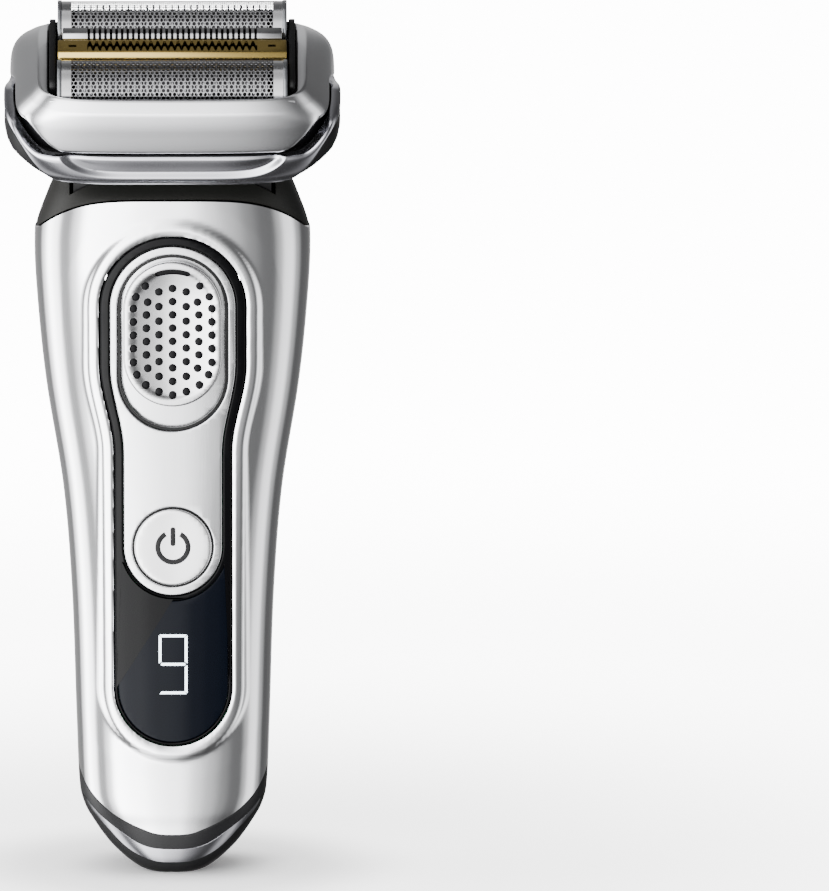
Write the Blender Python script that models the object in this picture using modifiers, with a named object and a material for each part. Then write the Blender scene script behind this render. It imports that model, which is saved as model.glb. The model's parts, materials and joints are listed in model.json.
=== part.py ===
"""Foil shaver built as an assembly of separate solids, standing on its foot.

The front faces -Y, +X is to the right seen from the front and +Z is up. The origin is the centre of
the flat foot. Lengths below are millimetres, and MM turns them into Blender's metres.
"""

import math

import bmesh
import bpy
from mathutils import Matrix, Vector

MM = 0.001
GAP = 0.3
WALL = 1.6
FRONT_POWER = 2.7
BACK_POWER = 2.4

# Handle outline: height, half width, depth to the front, depth to the back.
HANDLE = (
    (0.0, 5.4, 8.6, 8.8),
    (1.0, 7.2, 9.5, 9.7),
    (3.4, 10.4, 10.6, 11.1),
    (6.8, 13.6, 11.4, 12.2),
    (10.8, 16.2, 11.8, 12.8),
    (15.6, 17.9, 12.0, 13.2),
    (28.0, 18.5, 12.2, 13.8),
    (54.0, 19.4, 12.5, 14.5),
    (74.0, 21.0, 12.8, 15.0),
    (95.0, 24.3, 13.8, 15.8),
    (112.0, 26.0, 14.8, 16.8),
    (123.0, 26.4, 15.5, 17.4),
    (132.0, 25.5, 15.9, 17.6),
)
# Collar outline above the shells, as for the handle.
COLLAR = (
    (122.0, 26.4, 15.5, 17.4),
    (125.5, 25.9, 15.6, 17.4),
    (131.0, 23.9, 15.4, 17.0),
    (135.2, 22.3, 12.9, 15.4),
    (141.0, 21.8, 11.0, 12.4),
)
SPLIT_Y = 1.0
TOP_CENTRE = 131.3
TOP_SIDE_DROP = 6.6
TOP_SIDE_POWER = 4.0
SEAM_FRONT_Y = -11.0
SEAM_HEIGHT = 7.6
SEAM_SLOPE = 1.2

# Inlay on the front: heights, half widths and corner radii.
TRIM_TOP = 124.4
TRIM_HALF = 13.9
TRIM_LOW_HALF = 11.1
TRIM_BOTTOM = 25.4
WAIST_TOP = 99.4
WAIST_LOW = 82.3
BUTTON_Z = 64.0
BUTTON_RADIUS = 7.4
PANEL_HALF = 12.0
PANEL_LOW_HALF = 9.4
PANEL_TOP = 122.6
RECESS_HALF = 10.6
RECESS_TOP = 121.0
RECESS_LOW = 86.5
PAD_HALF = 9.4
PAD_TOP = 119.6
PAD_LOW = 91.4

# Head: the pivot in the world, and the head's lean towards the front.
PIVOT_Y = -2.0
PIVOT_Z = 136.5
HEAD_LEAN = 25.0
BOWL_RADIUS = 9.4
BOWL_WALL = 1.6
BOWL_HALF = 18.9
BOWL_INSIDE = 17.2
EAR_RADIUS = 4.0
PIVOT_BORE = 1.9
SADDLE_RADIUS = 9.8
NOTCH_ANGLES = (-20.0, -10.0, 0.0, 10.0, 20.0)
NOTCH_TURN = -4.7
ROCKER_Y = -5.2
ROCKER_Z = 125.2
ROCKER_TURN = 24.0
FOIL_OFFSET = 10.2
FOIL_RADIUS = 5.3
FOIL_CENTRE = 24.2
FOIL_BASE = 21.1
FOIL_HALF = 21.8
FOIL_WALL = 0.4
MESH_HALF = 19.6
PIN_OFFSET = 9.6
PIN_RADIUS = 1.1
MIDDLE_PIN = -1.4
STROKE_ROOM = 1.2
# Outer sizes of the head over its own height: height, half width, half depth.
FRAME_OUT = (
    (14.5, 31.0, 19.4),
    (19.0, 31.0, 19.3),
    (22.0, 30.0, 19.1),
    (24.1, 28.4, 18.9),
    (25.8, 26.4, 17.9),
)
FRAME_IN = (
    (13.5, 29.5, 17.9),
    (19.0, 29.5, 17.8),
    (22.0, 28.4, 17.7),
    (23.6, 27.0, 17.4),
)
RING_OUT = (
    (6.9, 28.6, 17.8),
    (8.4, 30.6, 19.2),
    (11.0, 31.9, 19.9),
    (15.0, 32.4, 20.0),
    (20.5, 31.9, 19.6),
)
FLANGE = (
    (7.0, 19.6, 8.2),
    (7.6, 22.0, 10.4),
    (8.2, 25.0, 14.0),
    (8.8, 27.6, 17.0),
    (10.0, 29.5, 17.9),
    (13.9, 30.4, 18.2),
)
RING_WALL = 1.4
HEAD_POWER = 4.4
FRAME_POWER = 6.5
OPENING_POWER = 14.0
OPENING_HALF = 23.7
OPENING_DEPTH = 16.4

for old in list(bpy.data.objects):
    bpy.data.objects.remove(old)
SHAVER = bpy.data.collections.new("foil_shaver")
CUTTERS = bpy.data.collections.new("cutters")
bpy.context.scene.collection.children.link(SHAVER)
bpy.context.scene.collection.children.link(CUTTERS)


def finish(name, colour, roughness, metallic=0.0):
    """A material with one colour."""
    made = bpy.data.materials.new(name)
    made.use_nodes = True
    shader = made.node_tree.nodes["Principled BSDF"]
    shader.inputs["Base Color"].default_value = (*colour, 1.0)
    shader.inputs["Roughness"].default_value = roughness
    shader.inputs["Metallic"].default_value = metallic
    return made


def place(name, mesh, look=None, parent=None):
    """Adds a mesh as a part, or as a cutter when it has no look."""
    obj = bpy.data.objects.new(name, mesh)
    mesh.shade_smooth()
    mesh.set_sharp_from_angle(angle=math.radians(35))
    obj.parent = parent
    if look is None:
        CUTTERS.objects.link(obj)
        obj.hide_render = True
        obj.display_type = "WIRE"
    else:
        SHAVER.objects.link(obj)
        mesh.materials.append(finish(name, *look))
    return obj


def mesh_from(name, shape):
    """Turns a bmesh in millimetres into a mesh in metres with its faces pointing out."""
    bmesh.ops.recalc_face_normals(shape, faces=shape.faces)
    bmesh.ops.scale(shape, vec=(MM, MM, MM), verts=shape.verts)
    mesh = bpy.data.meshes.new(name)
    shape.to_mesh(mesh)
    shape.free()
    return mesh


def block(name, low, high, look=None, parent=None, edge=0.0):
    """A box between two corners, with its origin at its centre and its edges rounded."""
    low, high = Vector(low), Vector(high)
    shape = bmesh.new()
    bmesh.ops.create_cube(shape, size=1.0)
    bmesh.ops.scale(shape, vec=high - low, verts=shape.verts)
    obj = place(name, mesh_from(name, shape), look, parent)
    obj.location = (low + high) * 0.5 * MM
    if edge:
        bevel = obj.modifiers.new("edge", "BEVEL")
        bevel.width = edge * MM
        bevel.segments = 2
    return obj


def rod(name, radius, start, end, look=None, parent=None, segments=24):
    """A cylinder from start to end, with its origin at its middle."""
    start, end = Vector(start), Vector(end)
    shape = bmesh.new()
    bmesh.ops.create_cone(
        shape, cap_ends=True, segments=segments, radius1=radius, radius2=radius, depth=(end - start).length
    )
    obj = place(name, mesh_from(name, shape), look, parent)
    obj.location = (start + end) * 0.5 * MM
    obj.rotation_euler = (end - start).to_track_quat("Z", "Y").to_euler()
    return obj


def plate(name, outlines, near, far, look=None, parent=None, along="Y"):
    """A flat outline, holes after it, extruded between near and far along X or Y."""
    curve = bpy.data.curves.new(name, "CURVE")
    curve.dimensions = "2D"
    curve.fill_mode = "BOTH"
    curve.extrude = (far - near) * 0.5 * MM
    for outline in outlines:
        spline = curve.splines.new("POLY")
        spline.points.add(len(outline) - 1)
        spline.use_cyclic_u = True
        for point, (across, up) in zip(spline.points, outline):
            point.co = (across * MM, up * MM, 0.0, 1.0)
    holder = bpy.data.objects.new(name + "_curve", curve)
    CUTTERS.objects.link(holder)
    graph = bpy.context.evaluated_depsgraph_get()
    mesh = bpy.data.meshes.new_from_object(holder.evaluated_get(graph))
    bpy.data.objects.remove(holder)
    shape = bmesh.new()
    shape.from_mesh(mesh)
    bmesh.ops.remove_doubles(shape, verts=shape.verts, dist=1e-7)
    bmesh.ops.recalc_face_normals(shape, faces=shape.faces)
    shape.to_mesh(mesh)
    shape.free()
    obj = place(name, mesh, look, parent)
    middle = (near + far) * 0.5 * MM
    if along == "Y":
        obj.location = (0.0, middle, 0.0)
        obj.rotation_euler = (math.pi / 2, 0.0, 0.0)
    else:
        obj.location = (middle, 0.0, 0.0)
        obj.rotation_euler = (math.pi / 2, 0.0, math.pi / 2)
    return obj


def loft(name, rings, look=None, parent=None):
    """A solid through rings of equal point counts, listed from the bottom up."""
    shape = bmesh.new()
    levels = [[shape.verts.new(point) for point in ring] for ring in rings]
    count = len(levels[0])
    for below, above in zip(levels, levels[1:]):
        for k in range(count):
            after = (k + 1) % count
            shape.faces.new((below[k], below[after], above[after], above[k]))
    shape.faces.new(levels[0])
    shape.faces.new(levels[-1])
    return place(name, mesh_from(name, shape), look, parent)


def skin(name, rows, thickness, look, parent=None):
    """An open grid of points given a thickness on its inner side."""
    shape = bmesh.new()
    grid = [[shape.verts.new(point) for point in row] for row in rows]
    for low, high in zip(grid, grid[1:]):
        for k in range(len(low) - 1):
            shape.faces.new((low[k], low[k + 1], high[k + 1], high[k]))
    bmesh.ops.scale(shape, vec=(MM, MM, MM), verts=shape.verts)
    mesh = bpy.data.meshes.new(name)
    shape.to_mesh(mesh)
    shape.free()
    obj = place(name, mesh, look, parent)
    solid = obj.modifiers.new("wall", "SOLIDIFY")
    solid.thickness = thickness * MM
    solid.offset = -1.0
    return obj


def combine(obj, other, operation="DIFFERENCE"):
    """A Boolean of obj with a helper object."""
    step = obj.modifiers.new(other.name, "BOOLEAN")
    step.operation = operation
    step.solver = "EXACT"
    step.object = other
    return obj


def between(stations, height):
    """The stations' sizes at a height, on a smooth curve through them."""
    last = len(stations) - 1
    k = 0
    while k < last - 1 and height > stations[k + 1][0]:
        k += 1
    low, high = stations[k], stations[k + 1]
    before, after = stations[max(k - 1, 0)], stations[min(k + 2, last)]
    span = high[0] - low[0]
    t = min(max((height - low[0]) / span, 0.0), 1.0)
    sizes = []
    for a, b, c, d in zip(before[1:], low[1:], high[1:], after[1:]):
        slope_low = (c - a) / (high[0] - before[0]) * span
        slope_high = (d - b) / (after[0] - low[0]) * span
        sizes.append(
            (2 * t**3 - 3 * t**2 + 1) * b
            + (t**3 - 2 * t**2 + t) * slope_low
            + (3 * t**2 - 2 * t**3) * c
            + (t**3 - t**2) * slope_high
        )
    return sizes


def rounded(value, power):
    """A cosine or sine turned into a superellipse's coordinate."""
    return math.copysign(abs(value) ** (2.0 / power), value)


def body_point(stations, angle, height, inset=0.0):
    """A point on the handle's outside, or inset from it. The angle runs from +X towards +Y."""
    half, front, back = between(stations, height)
    depth, power = (back, BACK_POWER) if math.sin(angle) > 0 else (front, FRONT_POWER)
    across = (half - inset) * rounded(math.cos(angle), power)
    return Vector((across, (depth - inset) * rounded(math.sin(angle), power), height))


def body_ring(stations, height, inset=0.0, count=36):
    return [body_point(stations, math.tau * k / count, height, inset) for k in range(count)]


def edge_height(stations, angle, rule, start):
    """The height where the body's outside meets an edge rule of x and y."""
    height = start
    for _ in range(12):
        point = body_point(stations, angle, height)
        height = 0.5 * (height + rule(point.x, point.y))
    return height


def top_edge(x, _y):
    return TOP_CENTRE - TOP_SIDE_DROP * (abs(x) / 25.8) ** TOP_SIDE_POWER


def seam_edge(_x, y):
    return SEAM_HEIGHT + SEAM_SLOPE * (y - SEAM_FRONT_Y)


def back_edge(_x, _y):
    return 14.0 + GAP


def shell(name, angles, low_rule, look):
    """A wall of the handle between two edge rules."""
    columns = []
    rows = 12
    for angle in angles:
        low = edge_height(HANDLE, angle, low_rule, 12.0)
        high = edge_height(HANDLE, angle, top_edge, 128.0)
        heights = [low + (high - low) * (k / (rows - 1)) ** 1.35 for k in range(rows)]
        columns.append([body_point(HANDLE, angle, height) for height in heights])
    return skin(name, [list(row) for row in zip(*columns)], WALL, look)


def front_y(x, z):
    """The handle's front surface."""
    half, front, _ = between(HANDLE, z)
    return -front * (1.0 - (abs(x) / half) ** FRONT_POWER) ** (1.0 / FRONT_POWER)


def back_y(x, z):
    """The handle's back surface."""
    half, _, back = between(HANDLE, z)
    return back * (1.0 - (abs(x) / half) ** BACK_POWER) ** (1.0 / BACK_POWER)


def front_layer(name, outlines, outset, depth, look, half, low, high):
    """A plate that follows the front surface, cut to an outline."""
    steps = max(4, round((high - low) / 7.0))
    rows = []
    for j in range(steps + 1):
        z = low - 1.0 + (high - low + 2.0) * j / steps
        across = [(half + 0.5) * (k / 5.0 - 1.0) for k in range(11)]
        rows.append([(x, front_y(x, z) - outset, z) for x in across])
    obj = skin(name, rows, depth, look)
    combine(obj, plate(name + "_outline", outlines, -30.0, 0.0), "INTERSECT")
    return obj


def arc(centre, radius, start, end, steps):
    """Points on an arc, angles in degrees from +X."""
    found = []
    for k in range(steps + 1):
        angle = math.radians(start + (end - start) * k / steps)
        found.append((centre[0] + radius * math.cos(angle), centre[1] + radius * math.sin(angle)))
    return found


def stadium(half, low, high, steps=12):
    """An upright outline with round ends."""
    top = arc((0.0, high - half), half, 0.0, 180.0, steps)
    bottom = arc((0.0, low + half), half, 180.0, 360.0, steps)
    return top + bottom


def waisted(half, low_half, top, low, grow=0.0):
    """The inlay outline: a round head, a waist below it and a round lower end."""
    right = arc((0.0, top - half), half + grow, 0.0, 90.0, 7)
    right.insert(0, (half + grow, WAIST_TOP))
    right.insert(0, (half * 0.45 + low_half * 0.55 + grow, (WAIST_TOP + WAIST_LOW) / 2))
    right.insert(0, (low_half + grow, WAIST_LOW))
    right = arc((0.0, low + low_half), low_half + grow, -90.0, 0.0, 7) + right
    left = [(-x, z) for x, z in reversed(right)]
    return right + left[1:-1]


def pane(half, rim_radius):
    """The display window: an arc round the button above, a round lower end."""
    turn = math.degrees(math.acos(half / rim_radius))
    rim = arc((0.0, BUTTON_Z), rim_radius, 180.0 + turn, 360.0 - turn, 12)
    return rim + arc((0.0, TRIM_BOTTOM + TRIM_LOW_HALF), half, 360.0, 180.0, 14)


def plan_ring(half, deep, height, count=40, power=HEAD_POWER):
    """A rounded rectangle seen from above."""
    ring = []
    for k in range(count):
        angle = math.tau * k / count
        across, along = rounded(math.cos(angle), power), rounded(math.sin(angle), power)
        ring.append((half * across, deep * along, height))
    return ring


def plan_loft(name, sizes, inset=0.0, look=None, parent=None, power=HEAD_POWER):
    """A loft through rounded rectangles, from height, half width and half depth."""
    rings = [plan_ring(half - inset, deep - inset, height, 40, power) for height, half, deep in sizes]
    return loft(name, rings, look, parent)


def eased(value):
    value = min(max(value, 0.0), 1.0)
    return value * value * (3.0 - 2.0 * value)


def frame_low(x):
    """The cassette frame's lower edge, which rises at the corners."""
    return 15.1 + 5.8 * eased((abs(x) - 20.8) / 8.6)


def ring_high(x):
    return 13.7 + 6.2 * eased((abs(x) - 24.6) / 9.0)


def ring_low(x):
    return 7.0 + 5.4 * eased((abs(x) - 21.0) / 11.5)


def band_outline(low_rule, high_rule, half=36.0, steps=30):
    """The area between two edge rules of x."""
    across = [half * (2.0 * k / steps - 1.0) for k in range(steps + 1)]
    return [(x, low_rule(x)) for x in across] + [(x, high_rule(x)) for x in reversed(across)]


SILVER = ((0.75, 0.76, 0.78), 0.25, 1.0)
SATIN = ((0.62, 0.63, 0.65), 0.35, 1.0)
CHARCOAL = ((0.04, 0.04, 0.037), 0.55)
BLACK = ((0.012, 0.012, 0.013), 0.5)
GLOSS = ((0.006, 0.007, 0.01), 0.08)
GOLD = ((0.55, 0.40, 0.16), 0.3, 1.0)
STEEL = ((0.55, 0.55, 0.56), 0.3, 1.0)
COPPER = ((0.70, 0.32, 0.14), 0.35, 1.0)
BOARD = ((0.02, 0.16, 0.07), 0.5)
PLASTIC = ((0.10, 0.10, 0.11), 0.5)
SLEEVE = ((0.04, 0.16, 0.30), 0.4)


def build_shells():
    """Front and rear shells, with the inlay's opening and the trimmer's bay."""
    front_turn = 0.038
    front_angles = [math.pi - front_turn]
    front_angles += [math.pi + math.pi * k / 20 for k in range(1, 20)]
    front_angles += [math.tau + front_turn]
    front = shell("front_shell", front_angles, seam_edge, SILVER)
    below = [(-30.0, seam_edge(0.0, -30.0)), (10.0, seam_edge(0.0, 10.0)), (10.0, -30.0), (-30.0, -30.0)]
    combine(front, plate("front_low_edge", [below], -30.0, 30.0, along="X"))
    opening = waisted(TRIM_HALF, TRIM_LOW_HALF, TRIM_TOP, TRIM_BOTTOM, GAP)
    combine(front, plate("inlay_opening", [opening], -30.0, -4.0))
    rear_turn = 0.055
    rear_angles = [rear_turn + (math.pi - 2 * rear_turn) * k / 14 for k in range(15)]
    rear = shell("rear_shell", rear_angles, back_edge, CHARCOAL)
    combine(rear, block("trimmer_bay", (-13.0, 5.0, 92.0), (13.0, 30.0, 140.0)))


def build_bottom():
    """Band, trim and foot under the front shell, and the charging inlet."""
    heights = (0.0, 0.7, 1.4, 3.0, 4.6, 6.5, 8.4, 10.4, 12.4, 14.6, 17.0, 20.0, 24.0)
    inner_heights = (3.0, 4.6, 6.5, 8.4, 10.4, 12.4, 17.0, 24.5)

    def slice_of(name, outline, look):
        obj = loft(name, [body_ring(HANDLE, z) for z in heights], look)
        return combine(obj, plate(name + "_slice", [outline], -30.0, 30.0, along="X"), "INTERSECT")

    inner = [body_ring(HANDLE, z, 2.2, 24) for z in inner_heights]
    slope = SEAM_SLOPE
    band_back = SPLIT_Y - GAP
    seam_back = SEAM_HEIGHT - GAP + slope * (band_back - SEAM_FRONT_Y)
    band = slice_of(
        "bottom_band",
        [(-20.0, 3.6), (-10.4, 4.9), (-3.2, 14.3), (band_back, 14.3), (band_back, seam_back),
         (SEAM_FRONT_Y, SEAM_HEIGHT - GAP), (-20.0, SEAM_HEIGHT - GAP - 9.0 * slope)],
        PLASTIC,
    )
    combine(band, loft("band_hollow", inner))
    trim = slice_of(
        "bottom_trim",
        [(-20.0, 1.1), (-10.0, 2.3), (-3.7, 13.2), (-10.4, 4.6), (-20.0, 3.3)],
        SILVER,
    )
    combine(trim, loft("trim_hollow", inner))
    foot = slice_of(
        "foot_cap",
        [(-20.0, -1.0), (-20.0, 0.8), (-10.0, 2.0), (-3.2, 14.0), (20.0, 14.0), (20.0, -1.0)],
        BLACK,
    )
    combine(foot, block("inlet_pocket", (-3.6, 1.6, -1.0), (3.6, 6.4, 8.6)))
    combine(foot, block("foot_hollow", (-9.0, -1.0, 9.8), (9.0, 9.0, 15.0)))
    for side, x in (("left", -1.8), ("right", 1.8)):
        combine(foot, rod("contact_hole_" + side, 1.1, (x, 4.0, 8.0), (x, 4.0, 11.0), segments=16))
        rod("contact_pin_" + side, 0.8, (x, 4.0, 4.8), (x, 4.0, 12.0), GOLD, segments=16)


def build_inlay():
    """Trim, panel, track, slider, button and window on the front."""
    outer = waisted(TRIM_HALF, TRIM_LOW_HALF, TRIM_TOP, TRIM_BOTTOM)
    panel_low = BUTTON_Z - PANEL_LOW_HALF
    panel = waisted(PANEL_HALF, PANEL_LOW_HALF, PANEL_TOP, panel_low)
    panel_hole = waisted(PANEL_HALF, PANEL_LOW_HALF, PANEL_TOP, panel_low, GAP)
    window = pane(TRIM_LOW_HALF - 0.7, 11.6)
    window_hole = pane(TRIM_LOW_HALF - 0.7 + GAP, 11.6 - GAP)
    front_layer("panel_trim", [outer, panel_hole, window_hole], 0.25, 2.2, GLOSS, 13.9, 24.5, 125.5)
    front_layer("display_window", [window], 0.2, 1.6, GLOSS, 11.0, 24.5, 61.0)
    recess = stadium(RECESS_HALF, RECESS_LOW, RECESS_TOP)
    button_hole = arc((0.0, BUTTON_Z), BUTTON_RADIUS + GAP, 0.0, 345.0, 23)
    front_layer("control_panel", [panel, recess, button_hole], 0.1, 1.5, SATIN, 12.5, 53.5, 123.5)
    track = stadium(RECESS_HALF - GAP, RECESS_LOW, RECESS_TOP)
    bolt_slot = [(-2.2, 101.0), (2.2, 101.0), (2.2, 112.0), (-2.2, 112.0)]
    front_layer("slider_track", [track, bolt_slot], -1.9, 1.0, SATIN, 11.0, 86.0, 122.0)
    pad = stadium(PAD_HALF, PAD_LOW, PAD_TOP)
    slider = front_layer("lock_slider", [pad], 0.3, 1.8, SATIN, 10.0, 91.0, 120.0)
    combine(slider, block("slider_stem", (-1.5, -13.4, 105.2), (1.5, -10.0, 108.0)), "UNION")
    combine(slider, block("slider_arm", (-1.5, -11.0, 105.2), (1.5, -10.0, 128.8)), "UNION")
    combine(slider, block("slider_lip", (-1.5, -11.0, 128.0), (1.5, -8.8, 128.8)), "UNION")
    disc = arc((0.0, BUTTON_Z), BUTTON_RADIUS, 0.0, 348.0, 29)
    button = front_layer("power_button", [disc], 0.55, 2.4, SATIN, 8.5, 55.6, 72.4)
    combine(button, rod("button_stem", 1.6, (0.0, -11.5, BUTTON_Z), (0.0, -9.4, BUTTON_Z)), "UNION")


def build_inside():
    """Chassis, battery, boards and fasteners."""
    chassis = block("inner_chassis", (-12.0, -4.9, 22.0), (12.0, -3.5, 116.0), PLASTIC)
    combine(chassis, block("cradle_low", (-9.0, -4.0, 24.0), (9.0, 9.5, 25.5)), "UNION")
    combine(chassis, block("cradle_high", (-9.0, -4.0, 81.0), (9.0, 9.5, 82.5)), "UNION")
    for side, x in (("left", -9.5), ("right", 9.5)):
        combine(chassis, rod("screw_hole_" + side, 1.1, (x, -6.0, 112.0), (x, -2.0, 112.0), segments=16))
        screw = rod("chassis_screw_" + side, 0.8, (x, -7.4, 112.0), (x, -0.5, 112.0), STEEL, segments=16)
        head = rod("screw_head_" + side, 1.7, (x, -1.6, 112.0), (x, -0.4, 112.0), segments=16)
        combine(screw, head, "UNION")
    battery = rod("battery_cell", 6.6, (0.0, 3.6, 27.0), (0.0, 3.6, 79.0), SLEEVE, segments=32)
    bevel = battery.modifiers.new("edge", "BEVEL")
    bevel.width = 0.6 * MM
    bevel.segments = 2
    bevel.angle_limit = math.radians(60)
    block("battery_tab_low", (-2.5, 0.0, 26.1), (2.5, 7.0, 26.5), STEEL)
    block("battery_tab_high", (-2.5, 0.0, 79.5), (2.5, 7.0, 79.9), STEEL)
    board = block("main_board", (-10.5, -7.0, 24.0), (10.5, -5.9, 104.0), BOARD)
    combine(board, block("board_notch", (-3.2, -8.0, 92.0), (3.2, -5.0, 106.0)))
    block("power_switch", (-2.6, -8.6, BUTTON_Z - 2.6), (2.6, -7.3, BUTTON_Z + 2.6), BLACK)
    block("display_board", (-7.5, -9.4, 29.0), (7.5, -8.0, 50.0), BOARD)


def build_collar():
    """Neck collar with its saddle, ears and pivot pins."""
    visible = (122.0, 124.0, 126.5, 129.0, 131.5, 133.5, 135.4, 138.0, 140.5)
    collar = loft("neck_collar", [body_ring(COLLAR, z, 0.0, 28) for z in visible], CHARCOAL)
    above = band_outline(lambda x: top_edge(x, 0.0) + GAP, lambda _x: 160.0)
    combine(collar, plate("collar_low_edge", [above], -30.0, 30.0), "INTERSECT")
    plug = loft("collar_plug", [body_ring(HANDLE, z, 2.2, 28) for z in (116.5, 120.0, 125.0, 129.0, 131.5)])
    combine(collar, plug, "UNION")
    combine(collar, block("inlay_room", (-12.6, -20.0, 110.0), (12.6, -12.0, 121.2)))
    low_rim, high_rim, above_all = 135.2, 141.0, 170.0
    rim = [(-40.0, low_rim), (PIVOT_Y - 8.6, low_rim), (PIVOT_Y + 4.0, high_rim), (40.0, high_rim)]
    rim += [(40.0, above_all), (-40.0, above_all)]
    combine(collar, plate("collar_top_edge", [rim], -BOWL_HALF - 0.5, BOWL_HALF + 0.5, along="X"))
    saddle = rod(
        "saddle",
        SADDLE_RADIUS,
        (-BOWL_HALF - 0.8, PIVOT_Y, PIVOT_Z),
        (BOWL_HALF + 0.8, PIVOT_Y, PIVOT_Z),
        segments=36,
    )
    combine(collar, saddle)
    combine(collar, block("collar_hollow", (-14.0, -12.4, 110.0), (14.0, 7.0, 130.0)))
    combine(collar, block("trimmer_room", (-13.6, 9.0, 110.0), (13.6, 30.0, 145.0)))
    ear = arc((PIVOT_Y, PIVOT_Z), EAR_RADIUS, 0.0, 180.0, 10)
    ear += [(-40.0, 128.0), (-40.0, 180.0), (40.0, 180.0), (40.0, 128.0)]
    ears = plate("ear_outline", [ear], -40.0, 40.0, along="X")
    for side, x in (("left", -1.0), ("right", 1.0)):
        low, high = sorted((x * 19.3, x * 41.3))
        trimmed = block("ear_side_" + side, (low, -40.0, 134.2), (high, 40.0, 180.0))
        combine(trimmed, ears, "INTERSECT")
        combine(collar, trimmed)
        start = (x * (BOWL_HALF + 3.4), PIVOT_Y, PIVOT_Z)
        end = (x * (BOWL_HALF - 2.2), PIVOT_Y, PIVOT_Z)
        outside, inside = (x * 30.0, PIVOT_Y, PIVOT_Z), (0.0, PIVOT_Y, PIVOT_Z)
        combine(collar, rod("ear_bore_" + side, PIVOT_BORE, outside, inside))
        rod("pivot_pin_" + side, PIVOT_BORE - GAP, start, end, STEEL)


def build_lock():
    """Rocker that lifts its tooth into the head's notches when the slider goes down."""
    turn = math.radians(ROCKER_TURN)
    tooth = [(2.7, -0.3), (2.7, 2.5), (2.1, 2.5), (2.1, 0.7)]
    cosine, sine = math.cos(turn), math.sin(turn)
    tooth = [(y * cosine + z * sine, z * cosine - y * sine) for y, z in tooth]
    nose = [(-4.2, 0.4), (-4.4, -0.2), (-4.0, -0.7)]
    eye_low = arc((0.0, 0.0), 1.3, 215.0, 300.0, 5)
    eye_high = arc((0.0, 0.0), 1.3, 40.0, 140.0, 5)
    profile = [(ROCKER_Y + y, ROCKER_Z + z) for y, z in nose + eye_low + tooth + eye_high]
    rocker = plate("lock_rocker", [profile], -1.4, 1.4, STEEL, along="X")
    bore = rod("rocker_bore", 0.9, (-4.0, ROCKER_Y, ROCKER_Z), (4.0, ROCKER_Y, ROCKER_Z), segments=16)
    combine(rocker, bore)
    rod("rocker_pin", 0.6, (-13.7, ROCKER_Y, ROCKER_Z), (13.7, ROCKER_Y, ROCKER_Z), STEEL, segments=16)


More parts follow.
